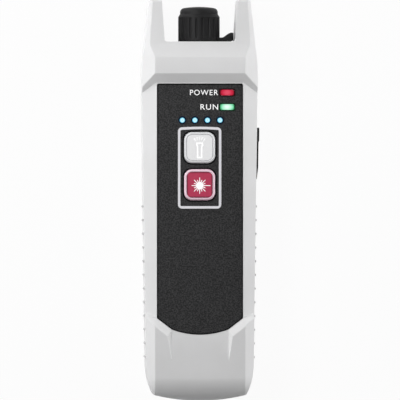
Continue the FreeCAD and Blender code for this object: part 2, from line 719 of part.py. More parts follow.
def label_face(margin):
    """The label's outline grown by margin, as a face at z = 0."""
    half = LABEL_WIDTH / 2
    knee = LABEL_TAPER_WIDTH / 2
    arc = Part.Arc(
        Vector(knee, LABEL_KNEE_Y, 0), Vector(0, LABEL_TIP_Y, 0), Vector(-knee, LABEL_KNEE_Y, 0)
    ).toShape()
    right = [
        Vector(half, LABEL_TOP_Y, 0),
        Vector(half, LABEL_SIDE_Y, 0),
        Vector(knee, LABEL_KNEE_Y, 0),
    ]
    left = [Vector(-v.x, v.y, 0) for v in reversed(right)]
    edges = [Part.makeLine(a, b) for a, b in zip(right, right[1:])] + [arc]
    edges += [Part.makeLine(a, b) for a, b in zip(left, left[1:])]
    edges.append(Part.makeLine(left[-1], right[0]))
    return offset_face(Part.Face(Part.Wire(edges)), margin)


def label_slab(margin, z0, z1):
    slab = lifted(label_face(margin), z0).extrude(Vector(0, 0, z1 - z0))
    half = LABEL_WIDTH / 2
    spots = [(s * half, LABEL_TOP_Y, 0) for s in (-1, 1)]
    corners = edges_along(slab, (0, 0, 1), spots, reach=2 * LABEL_GAP)
    return slab.makeFillet(LABEL_CORNER_RADIUS, corners) if corners else slab


def face_openings(key_gap, lens_gap, z0, z1):
    """Openings for the keys, windows and level lights, between two levels."""
    size = KEY_WIDTH + 2 * key_gap
    tools = [
        rounded_block(KEY_X, y, size, size, KEY_CORNER_RADIUS + key_gap, z0, z1)
        for y in (TORCH_KEY_Y, LASER_KEY_Y)
    ]
    tools += [window_pipe(y, lens_gap, z0, z1) for y in (RED_WINDOW_Y, GREEN_WINDOW_Y)]
    return tools + [upright(LEVEL_DIAMETER / 2 + lens_gap, x, LEVEL_Y, z0, z1) for x in LEVEL_XS]


def window_pipe(y, margin, z0, z1):
    return rounded_block(
        WINDOW_X,
        y,
        WINDOW_LENGTH + 2 * margin,
        WINDOW_HEIGHT + 2 * margin,
        WINDOW_CORNER_RADIUS + margin,
        z0,
        z1,
    )


def board_screw_spots():
    """Two screws across the board's diagonal."""
    return list(zip((-BOARD_SCREW_X, BOARD_SCREW_X), BOARD_SCREW_YS))


def front_shell(form):
    shell = form.common(block(-REACH, REACH, -REACH, REACH, PARTING_Z, CASE_DEPTH + 1))
    ribs = [r.common(block(-REACH, REACH, -REACH, REACH, PARTING_Z, CASE_DEPTH)) for r in grip_ribs()]
    shell = shell.multiFuse(ribs)
    shell = shell.cut(hollow())
    bosses = [
        upright(CASE_BOSS_RADIUS, x, y, PARTING_Z, FRONT_INNER_Z + FRONT_WALL / 2)
        for x, y in CASE_SCREW_SPOTS
    ] + [
        upright(BOARD_BOSS_RADIUS, x, y, BOARD_FRONT_Z, FRONT_INNER_Z + FRONT_WALL / 2)
        for x, y in board_screw_spots()
    ]
    shell = shell.multiFuse(bosses)
    pilots = [
        upright(CASE_SCREW_RADIUS + CASE_SCREW_GAP, x, y, PARTING_Z - 1, case_screw_tip() + 0.5)
        for x, y in CASE_SCREW_SPOTS
    ] + [
        upright(
            BOARD_SCREW_RADIUS + CASE_SCREW_GAP, x, y, BOARD_FRONT_Z - 1, BOARD_FRONT_Z + BOARD_SCREW_GRIP
        )
        for x, y in board_screw_spots()
    ]
    pocket = label_slab(LABEL_GAP, POCKET_Z, CASE_DEPTH + 1)
    openings = face_openings(KEY_GAP, LENS_GAP, FRONT_INNER_Z - 1, CASE_DEPTH)
    return shell.cut(pilots + [pocket] + openings + wall_openings())


def case_screw_tip():
    return CASE_HEAD_DEPTH + CASE_SCREW_LENGTH


def seal_ring(gap):
    """The seal cord's closed loop in the rim, grown by gap, broken at the port."""
    middle = WALL / 2
    z0 = PARTING_Z - SEAL_DEPTH
    outer = wall_loop(z0, PARTING_Z, middle + SEAL_WIDTH / 2 + gap)
    inner = wall_loop(z0 - 1, PARTING_Z + 1, middle - SEAL_WIDTH / 2 - gap)
    stop = SEAL_PORT_GAP - gap
    return outer.cut([inner, block(-stop, stop, FOOT_Y / 2 + TIP_Y / 2, TIP_Y, z0 - 1, PARTING_Z + 1)])


def cell_space(gap):
    return along_y(CELL_RADIUS + gap, 0, CELL_Z, CELL_FOOT_Y - gap, CELL_TOP_Y + gap)


def saddles():
    """Ribs across the rear shell that carry the cell, and the stop behind its upper contact."""
    first = CELL_FOOT_Y + SADDLE_INSET
    last = CELL_TOP_Y - SADDLE_INSET
    pitch = (last - first) / (SADDLE_COUNT - 1)
    half = SADDLE_WIDTH / 2
    ribs = []
    for i in range(SADDLE_COUNT):
        y = first + i * pitch
        rib = block(
            -half, half, y - SADDLE_THICKNESS / 2, y + SADDLE_THICKNESS / 2, BACK_WALL / 2, CELL_Z
        )
        ribs.append(rib.cut(cell_space(CELL_GAP)))
    ribs.append(
        block(-half, half, CELL_STOP_Y, CELL_STOP_Y + SADDLE_THICKNESS, BACK_WALL / 2, CELL_Z)
    )
    return ribs


def rear_shell(form):
    shell = form.common(block(-REACH, REACH, -REACH, REACH, -1, PARTING_Z))
    below = block(-REACH, REACH, -REACH, REACH, 0, PARTING_Z)
    shell = shell.multiFuse([rib.common(below) for rib in grip_ribs()])
    shell = shell.cut(hollow())
    bosses = [upright(CASE_BOSS_RADIUS, x, y, BACK_WALL / 2, PARTING_Z) for x, y in CASE_SCREW_SPOTS]
    shell = shell.multiFuse(bosses + saddles())
    wells = [
        upright(CASE_HEAD_RADIUS + CASE_HEAD_GAP, x, y, -1, CASE_HEAD_DEPTH) for x, y in CASE_SCREW_SPOTS
    ]
    holes = [
        upright(CASE_SCREW_RADIUS + CASE_HEAD_GAP, x, y, 0, PARTING_Z + 1) for x, y in CASE_SCREW_SPOTS
    ]
    return shell.cut(wells + holes + [seal_ring(SEAL_GAP)] + wall_openings())


def front_label():
    slab = label_slab(0, POCKET_Z, LABEL_FRONT_Z)
    return slab.cut(face_openings(KEY_GAP, 2 * LENS_GAP, POCKET_Z - 1, FACE_Z + 1))


def key_outline():
    """The raised line around both keys, with a slightly arched upper edge."""
    z0, z1 = LABEL_FRONT_Z, LABEL_FRONT_Z + OUTLINE_THICKNESS
    loops = []
    for inset, radius in ((0, OUTLINE_CORNER_RADIUS), (OUTLINE_STROKE, OUTLINE_INNER_RADIUS)):
        half = OUTLINE_WIDTH / 2 - inset
        low = OUTLINE_Y - OUTLINE_HEIGHT / 2 + inset
        high = OUTLINE_Y + OUTLINE_HEIGHT / 2 - inset
        left, right = KEY_X - half, KEY_X + half
        arch = Part.Arc(
            Vector(right, high - OUTLINE_ARCH, z0),
            Vector(KEY_X, high, z0),
            Vector(left, high - OUTLINE_ARCH, z0),
        ).toShape()
        sides = Part.makePolygon(
            [
                Vector(left, high - OUTLINE_ARCH, z0),
                Vector(left, low, z0),
                Vector(right, low, z0),
                Vector(right, high - OUTLINE_ARCH, z0),
            ]
        )
        slab = Part.Face(Part.Wire(sides.Edges + [arch])).extrude(Vector(0, 0, z1 - z0))
        loops.append(slab.makeFillet(radius, edges_along(slab, (0, 0, 1))))
    return loops[0].cut(loops[1])


def key_body(y):
    """A key with its bevelled cap and the flange that holds it behind the front wall."""
    cap = rounded_block(KEY_X, y, KEY_WIDTH, KEY_WIDTH, KEY_CORNER_RADIUS, KEY_BOTTOM_Z, KEY_TOP_Z)
    rim = [e for e in cap.Edges if all(abs(v.Z - KEY_TOP_Z) < 1e-6 for v in e.Vertexes)]
    cap = cap.makeChamfer(KEY_EDGE_BEVEL, rim)
    flange = rounded_block(
        KEY_X,
        y,
        KEY_FLANGE_SIZE,
        KEY_FLANGE_SIZE,
        KEY_CORNER_RADIUS + KEY_FLANGE_WIDTH,
        KEY_BOTTOM_Z,
        KEY_FLANGE_Z,
    )
    return cap.fuse(flange).removeSplitter()


def field_block(margin, z0, z1):
    size = KEY_WIDTH - 2 * FIELD_RIM_WIDTH + 2 * margin
    return rounded_block(
        KEY_X, LASER_KEY_Y, size, size, KEY_CORNER_RADIUS - FIELD_RIM_WIDTH + margin, z0, z1
    )


def laser_key():
    floor = KEY_TOP_Z - FIELD_THICKNESS
    return key_body(LASER_KEY_Y).cut(field_block(FIELD_GAP, floor, KEY_TOP_Z + 1))


def laser_key_face():
    return field_block(0, KEY_TOP_Z - FIELD_THICKNESS, KEY_TOP_Z)


def plunger(y):
    top = BOARD_FRONT_Z + SWITCH_HEIGHT
    return upright(PLUNGER_RADIUS, KEY_X, y, top - PLUNGER_DEPTH, KEY_BOTTOM_Z)


def tact_switch(y):
    top = BOARD_FRONT_Z + SWITCH_HEIGHT
    body = rounded_block(KEY_X, y, SWITCH_WIDTH, SWITCH_WIDTH, 0.5, BOARD_FRONT_Z, top)
    depth = PLUNGER_DEPTH + KEY_TRAVEL + PLUNGER_GAP
    return body.cut(upright(PLUNGER_RADIUS + PLUNGER_GAP, KEY_X, y, top - depth, top + 1))


def key_seal():
    """The silicone sheet behind the front wall, with a window for each key's flange and the lenses."""
    width = KEY_FLANGE_SIZE + 2 * SEAL_SHEET_MARGIN
    height = width + KEY_PITCH
    z0 = FRONT_INNER_Z - SEAL_SHEET_THICKNESS
    sheet = rounded_block(KEY_X, KEYS_Y, width, height, SEAL_SHEET_MARGIN, z0, FRONT_INNER_Z)
    size = KEY_FLANGE_SIZE + 2 * SEAL_SHEET_GAP
    radius = KEY_CORNER_RADIUS + KEY_FLANGE_WIDTH
    windows = [
        rounded_block(KEY_X, y, size, size, radius, z0 - 1, FRONT_INNER_Z + 1)
        for y in (TORCH_KEY_Y, LASER_KEY_Y)
    ]
    reach = LEVEL_DIAMETER / 2 + SEAL_SHEET_GAP
    lens_slot = block(
        min(LEVEL_XS) - reach, max(LEVEL_XS) + reach, LEVEL_Y - reach, LEVEL_Y + reach, z0 - 1, FACE_Z
    )
    return sheet.cut(windows + [lens_slot])


def level_lens(x):
    return upright(LEVEL_DIAMETER / 2, x, LEVEL_Y, LENS_BOTTOM_Z, LENS_TOP_Z)


def indicator_leds():
    """The lamps on the board, one under each window and level light."""
    top = BOARD_FRONT_Z + LAMP_HEIGHT
    bars = [
        block(WINDOW_X - 1.6, WINDOW_X + 1.6, y - 0.8, y + 0.8, BOARD_FRONT_Z, top)
        for y in (RED_WINDOW_Y, GREEN_WINDOW_Y)
    ]
    dots = [block(x - 0.8, x + 0.8, LEVEL_Y - 0.4, LEVEL_Y + 0.4, BOARD_FRONT_Z, top) for x in LEVEL_XS]
    return Part.makeCompound(bars + dots)


def main_board():
    board = rounded_block(
        0, BOARD_MIDDLE_Y, BOARD_WIDTH, BOARD_LENGTH, BOARD_CORNER_RADIUS, BOARD_BACK_Z, BOARD_FRONT_Z
    )
    holes = [
        upright(BOARD_SCREW_RADIUS + CASE_HEAD_GAP, x, y, BOARD_BACK_Z - 1, BOARD_FRONT_Z + 1)
        for x, y in board_screw_spots()
    ]
    return board.cut(holes)


def control_chip():
    y = BOARD_TOP_Y - CHIP_DROP
    half = CHIP_WIDTH / 2
    return block(-half, half, y - half, y + half, BOARD_BACK_Z - CHIP_HEIGHT, BOARD_BACK_Z)


def board_screws():
    screws = []
    for x, y in board_screw_spots():
        head = upright(BOARD_HEAD_RADIUS, x, y, BOARD_BACK_Z - BOARD_HEAD_HEIGHT, BOARD_BACK_Z)
        shank = upright(BOARD_SCREW_RADIUS, x, y, BOARD_BACK_Z, BOARD_FRONT_Z + BOARD_SCREW_GRIP - 0.3)
        screws.append(head.fuse(shank).removeSplitter())
    return Part.makeCompound(screws)


def case_screws():
    screws = []
    for x, y in CASE_SCREW_SPOTS:
        low = CASE_HEAD_DEPTH - CASE_HEAD_HEIGHT
        head = upright(CASE_HEAD_RADIUS, x, y, low, CASE_HEAD_DEPTH)
        shank = upright(CASE_SCREW_RADIUS, x, y, CASE_HEAD_DEPTH, case_screw_tip())
        drive = [
            block(x - a, x + a, y - b, y + b, low - 1, low + DRIVE_DEPTH)
            for a, b in ((DRIVE_RADIUS, 0.3), (0.3, DRIVE_RADIUS))
        ]
        screws.append(head.fuse(shank).removeSplitter().cut(drive))
    return Part.makeCompound(screws)


def charging_socket():
    """The metal socket on the board's back, with the contact tongue in its mouth."""
    back = SOCKET_MOUTH_X - SOCKET_DEPTH
    outer = socket_prism(0, back, SOCKET_MOUTH_X)
    inner = socket_prism(-SOCKET_WALL, back + 1, SOCKET_MOUTH_X + 1)
    tongue_half = SOCKET_LENGTH / 2 - 3 * SOCKET_WALL - SOCKET_TONGUE / 2
    tongue = block(
        back,
        SOCKET_MOUTH_X - SOCKET_TONGUE,
        SOCKET_Y - tongue_half,
        SOCKET_Y + tongue_half,
        SOCKET_Z - SOCKET_TONGUE / 2,
        SOCKET_Z + SOCKET_TONGUE / 2,
    )
    return outer.cut(inner).fuse(tongue).removeSplitter()


def socket_cover():
    """The rubber cover, with a lip at its free end, a plug and a rounded hinge end."""
    low, high = SOCKET_Z - COVER_WIDTH / 2, SOCKET_Z + COVER_WIDTH / 2
    lip_y = COVER_TOP_Y - COVER_LIP_LENGTH
    neck_y = lip_y - 2 * COVER_LIP_RISE
    taper_y = COVER_HINGE_Y + COVER_TAPER_LENGTH
    outline = [
        (COVER_INNER_X, COVER_HINGE_Y + COVER_HINGE_RADIUS, low),
        (COVER_INNER_X, COVER_TOP_Y, low),
        (side_x(COVER_TOP_Y) + COVER_RISE + COVER_LIP_RISE, COVER_TOP_Y, low),
        (side_x(lip_y) + COVER_RISE + COVER_LIP_RISE, lip_y, low),
        (side_x(neck_y) + COVER_RISE, neck_y, low),
        (side_x(taper_y) + COVER_RISE, taper_y, low),
        (COVER_HINGE_X + COVER_HINGE_RADIUS, COVER_HINGE_Y + COVER_HINGE_RADIUS, low),
    ]
    leaf = prism(outline, (0, 0, COVER_WIDTH))
    tip = edges_along(leaf, (1, 0, 0), [(0, COVER_TOP_Y, low), (0, COVER_TOP_Y, high)])
    leaf = leaf.makeFillet(COVER_CORNER_RADIUS, tip)
    barrel = upright(COVER_HINGE_RADIUS, COVER_HINGE_X, COVER_HINGE_Y + COVER_HINGE_RADIUS, low, high)
    plug = socket_prism(0, COVER_INNER_X - PLUG_DEPTH, COVER_INNER_X + COVER_GAP)
    return leaf.fuse([barrel, plug]).removeSplitter()


def port_barrel():
    """The turned port: lip, barrel, neck through the top wall, flange and the laser's socket."""
    pocket = MODULE_RADIUS + MODULE_GAP
    sleeve = SLEEVE_RADIUS + SLEEVE_GAP
    body = turned(
        [
            (PORT_LIP_RADIUS, PORT_TOP_Y),
            (PORT_BARREL_RADIUS, PORT_TOP_Y),
            (PORT_BARREL_RADIUS, NOTCH_Y + NUT_HEIGHT),
            (PORT_NECK_RADIUS, NOTCH_Y + NUT_HEIGHT),
            (PORT_NECK_RADIUS, TOP_INNER_Y),
            (PORT_FLANGE_RADIUS, TOP_INNER_Y),
            (PORT_FLANGE_RADIUS, TOP_INNER_Y - PORT_FLANGE_THICKNESS),
            (pocket + PORT_SOCKET_WALL, TOP_INNER_Y - PORT_FLANGE_THICKNESS),
            (pocket + PORT_SOCKET_WALL, PORT_BACK_Y),
            (pocket, PORT_BACK_Y),
            (pocket, MODULE_FRONT_Y),
            (PORT_LIP_RADIUS, MODULE_FRONT_Y),
            (PORT_LIP_RADIUS, SLEEVE_TOP_Y - SLEEVE_LENGTH),
            (sleeve, SLEEVE_TOP_Y - SLEEVE_LENGTH),
            (sleeve, SLEEVE_TOP_Y),
            (PORT_LIP_RADIUS, SLEEVE_TOP_Y),
        ]
    )
    return body


def port_nut():
    """A hexagon nut on the neck, above the top wall."""
    corners = [
        Vector(
            NUT_RADIUS * math.sin(math.radians(60 * i)),
            NOTCH_Y,
            PORT_Z + NUT_RADIUS * math.cos(math.radians(60 * i)),
        )
        for i in range(6)
    ]
    hexagon = Part.Face(Part.makePolygon(corners + corners[:1])).extrude(Vector(0, NUT_HEIGHT, 0))
    bore_radius = PORT_NECK_RADIUS + SLEEVE_GAP
    return hexagon.cut(along_y(bore_radius, 0, PORT_Z, NOTCH_Y - 1, NOTCH_Y + NUT_HEIGHT + 1))


def ferrule_sleeve():
    """The split sleeve that takes a connector's ferrule, with its lengthwise slot at the back."""
    low = SLEEVE_TOP_Y - SLEEVE_LENGTH
    tube = along_y(SLEEVE_RADIUS, 0, PORT_Z, low, SLEEVE_TOP_Y)
    slot = block(
        -SLEEVE_SLOT / 2, SLEEVE_SLOT / 2, low - 1, SLEEVE_TOP_Y + 1, PORT_Z - 2 * SLEEVE_RADIUS, PORT_Z
    )
    return tube.cut([along_y(SLEEVE_BORE_RADIUS, 0, PORT_Z, low - 1, SLEEVE_TOP_Y + 1), slot])


def laser_module():
    body = along_y(MODULE_RADIUS, 0, PORT_Z, MODULE_BACK_Y, MODULE_FRONT_Y)
    beam = along_y(MODULE_BEAM_RADIUS, 0, PORT_Z, MODULE_FRONT_Y - PORT_SOCKET_DEPTH, MODULE_FRONT_Y + 1)
    return body.cut(beam)


def laser_board():
    half = LASER_BOARD_WIDTH / 2
    return block(
        -half, half, MODULE_BACK_Y - LASER_BOARD_THICKNESS, MODULE_BACK_Y, PORT_Z - half, PORT_Z + half
    )


def dust_cap():
    """The rubber cap: a fluted, shouldered drum over the port, with a pull tab at its base."""
    shoulder = CAP_TOP_Y - CAP_SHOULDER_DROP
    bore = PORT_BARREL_RADIUS + CAP_BORE_GAP
    room = NUT_RADIUS + CAP_NUT_GAP
    nut_top = NOTCH_Y + NUT_HEIGHT + CAP_NUT_GAP
    drum = turned(
        [
            (0, CAP_TOP_Y),
            (CAP_TOP_RADIUS - CAP_EDGE_BEVEL, CAP_TOP_Y),
            (CAP_TOP_RADIUS, CAP_TOP_Y - CAP_EDGE_BEVEL),
            (CAP_TOP_RADIUS, shoulder),
            (CAP_RADIUS, shoulder - CAP_SHOULDER_HEIGHT),
            (CAP_RADIUS, CAP_BASE_Y),
            (room, CAP_BASE_Y),
            (room, nut_top),
            (PORT_NECK_RADIUS + CAP_NUT_GAP, nut_top),
            (bore, nut_top + PORT_NECK_RADIUS - PORT_BARREL_RADIUS),
            (bore, PORT_TOP_Y + CAP_ROOF_GAP),
            (0, PORT_TOP_Y + CAP_ROOF_GAP),
        ]
    )
    flute_top = shoulder - CAP_SHOULDER_HEIGHT - FLUTE_RIM
    flutes = [cap_flute(360 / FLUTE_COUNT * (i + 0.5), flute_top) for i in range(FLUTE_COUNT)]
    return drum.cut(flutes).fuse(pull_tab().cut(drum_core(room))).removeSplitter()


def cap_flute(turn, top):
    """The space of one flute above the plain band, turned about the cap's axis."""
    slope = (FLUTE_WIDTH - FLUTE_FLOOR_WIDTH) / FLUTE_DEPTH
    section = [
        (-FLUTE_FLOOR_WIDTH / 2, CAP_RADIUS - FLUTE_DEPTH),
        (FLUTE_FLOOR_WIDTH / 2, CAP_RADIUS - FLUTE_DEPTH),
        ((FLUTE_WIDTH + slope) / 2, CAP_RADIUS + 1),
        (-(FLUTE_WIDTH + slope) / 2, CAP_RADIUS + 1),
    ]
    foot = CAP_BASE_Y + FLUTE_BASE
    space = prism([(x, foot, PORT_Z + z) for x, z in section], (0, top - foot, 0))
    space.rotate(Vector(0, 0, PORT_Z), Vector(0, 1, 0), turn)
    return space


def drum_core(radius):
    return along_y(radius + 0.5, 0, PORT_Z, CAP_BASE_Y - 1, CAP_TOP_Y)


def pull_tab():
    """The tab at the cap's base, with a thicker end to pull on."""
    base = CAP_BASE_Y
    outline = [
        (0, base),
        (TAB_REACH - TAB_END_LENGTH / 2, base),
        (TAB_REACH, base + TAB_THICKNESS / 2),
        (TAB_REACH, base + TAB_END_THICKNESS),
        (TAB_REACH - TAB_END_LENGTH / 2, base + TAB_END_THICKNESS),
        (TAB_REACH - TAB_END_LENGTH, base + TAB_THICKNESS),
        (0, base + TAB_THICKNESS),
    ]
    half = TAB_WIDTH / 2
    tab = prism([(x, y, PORT_Z - half) for x, y in outline], (0, 0, TAB_WIDTH))
    ends = [(TAB_REACH, 0, PORT_Z + s * half) for s in (-1, 1)]
    return tab.makeFillet(1.0, edges_along(tab, (0, 1, 0), ends))


def torch_lamp():
    """The torch's round lamp, its dome in the top wall."""
    dome_y = TORCH_BASE_Y + TORCH_BODY_LENGTH - TORCH_RADIUS
    body = along_y(TORCH_RADIUS, TORCH_X, TORCH_Z, TORCH_BASE_Y, dome_y)
    dome = Part.makeSphere(TORCH_RADIUS, Vector(TORCH_X, dome_y, TORCH_Z))
    base = along_y(TORCH_BASE_RADIUS, TORCH_X, TORCH_Z, TORCH_BASE_Y, TOP_INNER_Y)
    room = block(-REACH, REACH, TORCH_BASE_Y, NOTCH_Y, -REACH, REACH)
    return body.fuse([dome, base]).common(room).removeSplitter()


def torch_lamp_legs():
    """The lamp's two legs, bent up to the board's back."""
    legs = []
    half = TORCH_LEG_WIDTH / 2
    end = BOARD_TOP_Y - TORCH_BASE_RADIUS
    for side in (-1, 1):
        x = TORCH_X + side * TORCH_LEG_PITCH / 2
        straight = block(x - half, x + half, end, TORCH_BASE_Y, TORCH_Z - half, TORCH_Z + half)
        rise = block(x - half, x + half, end, end + TORCH_LEG_WIDTH, TORCH_Z - half, BOARD_BACK_Z)
        legs.append(straight.fuse(rise).removeSplitter())
    return Part.makeCompound(legs)


def lithium_cell():
    can = along_y(CELL_RADIUS, 0, CELL_Z, CELL_FOOT_Y, CELL_TOP_Y)
    nub = along_y(CELL_NUB_RADIUS, 0, CELL_Z, CELL_TOP_Y - 1, CELL_TOP_Y + CELL_NUB_HEIGHT)
    return can.fuse(nub).removeSplitter()


def cell_contacts():
    """A plate at each end of the cell, one on the foot wall and one on the stop, with solder tabs."""
    half = CONTACT_WIDTH / 2
    reach = CELL_RADIUS + CONTACT_TAB_REACH
    plates = []
    for y, tab_x in ((FOOT_INNER_Y, reach), (CELL_STOP_Y - CONTACT_THICKNESS, half)):
        plate_y = y + CONTACT_THICKNESS
        face = block(-half, half, y, plate_y, BACK_WALL, CONTACT_TOP_Z)
        tab = block(0, tab_x, y, plate_y, CONTACT_TOP_Z - CONTACT_TAB_HEIGHT, CONTACT_TOP_Z)
        plates.append(face.fuse(tab).removeSplitter())
    return Part.makeCompound(plates)


def wire(points):
    """A round wire of straight runs through the points."""
    corners = [Vector(*p) for p in points]
    ring = Part.Wire(Part.makeCircle(WIRE_RADIUS, corners[0], corners[1] - corners[0]))
    return Part.makePolygon(corners).makePipeShell([ring], True, False, 1)


def cell_leads():
    """One wire from each contact's tab to the board's back, at its lower edge."""
    clear = WIRE_RADIUS + WIRE_GAP
    end_y = BOARD_TOP_Y - BOARD_LENGTH + 2 * BOARD_CORNER_RADIUS
    board = BOARD_BACK_Z - clear
    tab_z = CONTACT_TOP_Z - CONTACT_TAB_HEIGHT / 2
    side = CELL_RADIUS + CONTACT_TAB_REACH - WIRE_RADIUS
    foot_y = FOOT_INNER_Y + CONTACT_THICKNESS + WIRE_GAP
    top_y = CELL_STOP_Y + WIRE_GAP
    return Part.makeCompound(
        [
            wire([(side, foot_y, tab_z), (side, CELL_STOP_Y, tab_z), (side, end_y, board)]),
            wire([(0, top_y, tab_z), (0, top_y + SADDLE_THICKNESS, tab_z), (0, end_y, board)]),
        ]
    )


def laser_leads():
    """Two wires from the laser's board to the main board."""
    clear = WIRE_RADIUS + WIRE_GAP
    start_y = MODULE_BACK_Y - LASER_BOARD_THICKNESS - WIRE_GAP
    board = BOARD_BACK_Z - clear
    rise = board - PORT_Z
    return Part.makeCompound(
        [
            wire([(x, start_y, PORT_Z), (x, start_y - rise, PORT_Z), (x, start_y - 2 * rise, board)])
            for x in (-LASER_LEAD_X, LASER_LEAD_X)
        ]
    )


def main():
    form = casing_form()
    nodes = {
        "front_shell": front_shell(form),
        "rear_shell": rear_shell(form),
        "front_label": front_label(),
        "key_outline": key_outline(),
        "red_window": window_pipe(RED_WINDOW_Y, 0, LENS_BOTTOM_Z, LENS_TOP_Z),
        "green_window": window_pipe(GREEN_WINDOW_Y, 0, LENS_BOTTOM_Z, LENS_TOP_Z),
        "torch_key": key_body(TORCH_KEY_Y),
        "torch_plunger": plunger(TORCH_KEY_Y),
        "torch_switch": tact_switch(TORCH_KEY_Y),
        "laser_key": laser_key(),
        "laser_key_face": laser_key_face(),
        "laser_plunger": plunger(LASER_KEY_Y),
        "laser_switch": tact_switch(LASER_KEY_Y),
        "key_seal": key_seal(),
        "indicator_leds": indicator_leds(),
        "main_board": main_board(),
        "control_chip": control_chip(),
        "charging_socket": charging_socket(),
        "socket_cover": socket_cover(),
        "port_barrel": port_barrel(),
        "port_nut": port_nut(),
        "ferrule_sleeve": ferrule_sleeve(),
        "laser_module": laser_module(),
        "laser_board": laser_board(),
        "laser_leads": laser_leads(),
        "dust_cap": dust_cap(),
        "torch_lamp": torch_lamp(),
        "torch_lamp_legs": torch_lamp_legs(),
        "lithium_cell": lithium_cell(),
        "cell_contacts": cell_contacts(),
        "cell_leads": cell_leads(),
        "case_seal": seal_ring(0),
        "case_screws": case_screws(),
        "board_screws": board_screws(),
    }
    for i, x in enumerate(LEVEL_XS, start=1):
        nodes[f"level_lens_{i}"] = level_lens(x)
    for name, shape in nodes.items():
        shape.exportStep(f"parts/{name}.step")
        print(name, "solids", len(shape.Solids), "volume", round(shape.Volume, 1), "valid", shape.isValid())


main()
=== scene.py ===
# %% [markdown]
# # A hand-held fibre optic tester
# The solids of the tester come as a fixed frame: every casing half, key, lens and screw is already in its
# place, in metres. This lesson dresses them. It rounds the moulded edges, makes the pieces that a solid
# modeller leaves plain, such as the fluted rubber cap and the printed signs, and mixes a finish for each
# surface.

# %% Load the solids
import math

import bmesh
import bpy
from mathutils import Matrix, Vector
from mathutils.bvhtree import BVHTree


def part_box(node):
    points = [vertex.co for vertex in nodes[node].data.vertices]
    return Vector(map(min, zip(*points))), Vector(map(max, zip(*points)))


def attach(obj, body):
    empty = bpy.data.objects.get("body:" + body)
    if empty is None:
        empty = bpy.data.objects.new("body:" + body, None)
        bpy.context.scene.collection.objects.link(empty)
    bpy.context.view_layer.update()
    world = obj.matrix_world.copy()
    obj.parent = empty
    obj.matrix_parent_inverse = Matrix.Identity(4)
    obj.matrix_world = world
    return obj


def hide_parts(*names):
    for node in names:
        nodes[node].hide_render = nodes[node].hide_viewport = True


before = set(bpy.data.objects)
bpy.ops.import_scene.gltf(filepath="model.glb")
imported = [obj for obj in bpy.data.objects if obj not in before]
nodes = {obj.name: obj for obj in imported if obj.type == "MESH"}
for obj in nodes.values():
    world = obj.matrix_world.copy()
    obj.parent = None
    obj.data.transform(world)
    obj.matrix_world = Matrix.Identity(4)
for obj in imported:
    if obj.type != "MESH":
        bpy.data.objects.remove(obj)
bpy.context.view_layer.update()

MM = 0.001

# %% [markdown]
# ## Shader arithmetic
# A finish is a small formula: a speckle is a noise, scaled and added to a colour. Written with node calls
# such a formula is hard to read, so one class wraps a socket and lets Python's operators add the Math
# nodes. Everything that isn't arithmetic, such as a noise or a ramp, comes from its one `add` method, and
# `parts` takes a vector apart. The same class serves the geometry trees further down, because they share
# the Math node.


# %% A socket that can be calculated with
class Wire:
    """A node's output. Arithmetic on it adds Math nodes to its tree."""

    def __init__(self, socket):
        self.socket = socket

    @staticmethod
    def add(tree, kind, settings=None, inputs=None, output=0):
        """Adds a node: settings first, then the values or wires of its sockets, by name or number."""
        node = tree.nodes.new(kind)
        for name, value in (settings or {}).items():
            if name == "stops":
                ramp = node.color_ramp
                while len(ramp.elements) < len(value):
                    ramp.elements.new(0.5)
                for element, (place, colour) in zip(ramp.elements, value):
                    element.position = place
                    element.color = (*colour, 1)
            else:
                setattr(node, name, value)
        for key, value in (inputs or {}).items():
            if isinstance(value, Wire):
                tree.links.new(value.socket, node.inputs[key])
            else:
                node.inputs[key].default_value = value
        return Wire(node.outputs[output])

    def calculate(self, operation, *values):
        """A Math node on these values, or on this wire alone."""
        tree = self.socket.id_data
        inputs = dict(enumerate(values or (self,)))
        return Wire.add(tree, "ShaderNodeMath", {"operation": operation}, inputs)

    def __add__(self, other):
        return self.calculate("ADD", self, other)

    __radd__ = __add__

    def __sub__(self, other):
        return self.calculate("SUBTRACT", self, other)

    def __rsub__(self, other):
        return self.calculate("SUBTRACT", other, self)

    def __mul__(self, other):
        return self.calculate("MULTIPLY", self, other)

    __rmul__ = __mul__

    def __truediv__(self, other):
        return self.calculate("DIVIDE", self, other)

    def __rtruediv__(self, other):
        return self.calculate("DIVIDE", other, self)

    def __pow__(self, other):
        return self.calculate("POWER", self, other)

    def __abs__(self):
        return self.calculate("ABSOLUTE", self)

    def higher(self, other):
        return self.calculate("MAXIMUM", self, other)

    def lower(self, other):
        return self.calculate("MINIMUM", self, other)

    def rise(self, low, high):
        """A smooth step from 0 at low to 1 at high."""
        settings = {"interpolation_type": "SMOOTHSTEP"}
        inputs = {"Value": self, "From Min": low, "From Max": high}
        return Wire.add(self.socket.id_data, "ShaderNodeMapRange", settings, inputs)

    def parts(self):
        """The x, y and z of a vector."""
        first = Wire.add(self.socket.id_data, "ShaderNodeSeparateXYZ", None, {0: self})
        return [Wire(socket) for socket in first.socket.node.outputs]


print("sockets can be written as sums")

# %% [markdown]
# ## Starting a finish
# Every finish starts alike: a material with one Principled shader, and the object's own coordinates, which
# don't slide when a piece moves. `Finish` holds those and knows the few patterns that come again and again:
# a noise, a blend of two colours and a bump. Colours are written as they look on a screen, from 0 to 255,
# and turned to the linear values that a shader needs.


# %% A material with its shader and coordinates
def linear(level):
    """The light that a screen's level from 0 to 1 stands for."""
    return level / 12.92 if level <= 0.04045 else ((level + 0.055) / 1.055) ** 2.4


def screen(red, green, blue):
    """A colour as a screen shows it, made linear."""
    return tuple(linear(level / 255) for level in (red, green, blue))


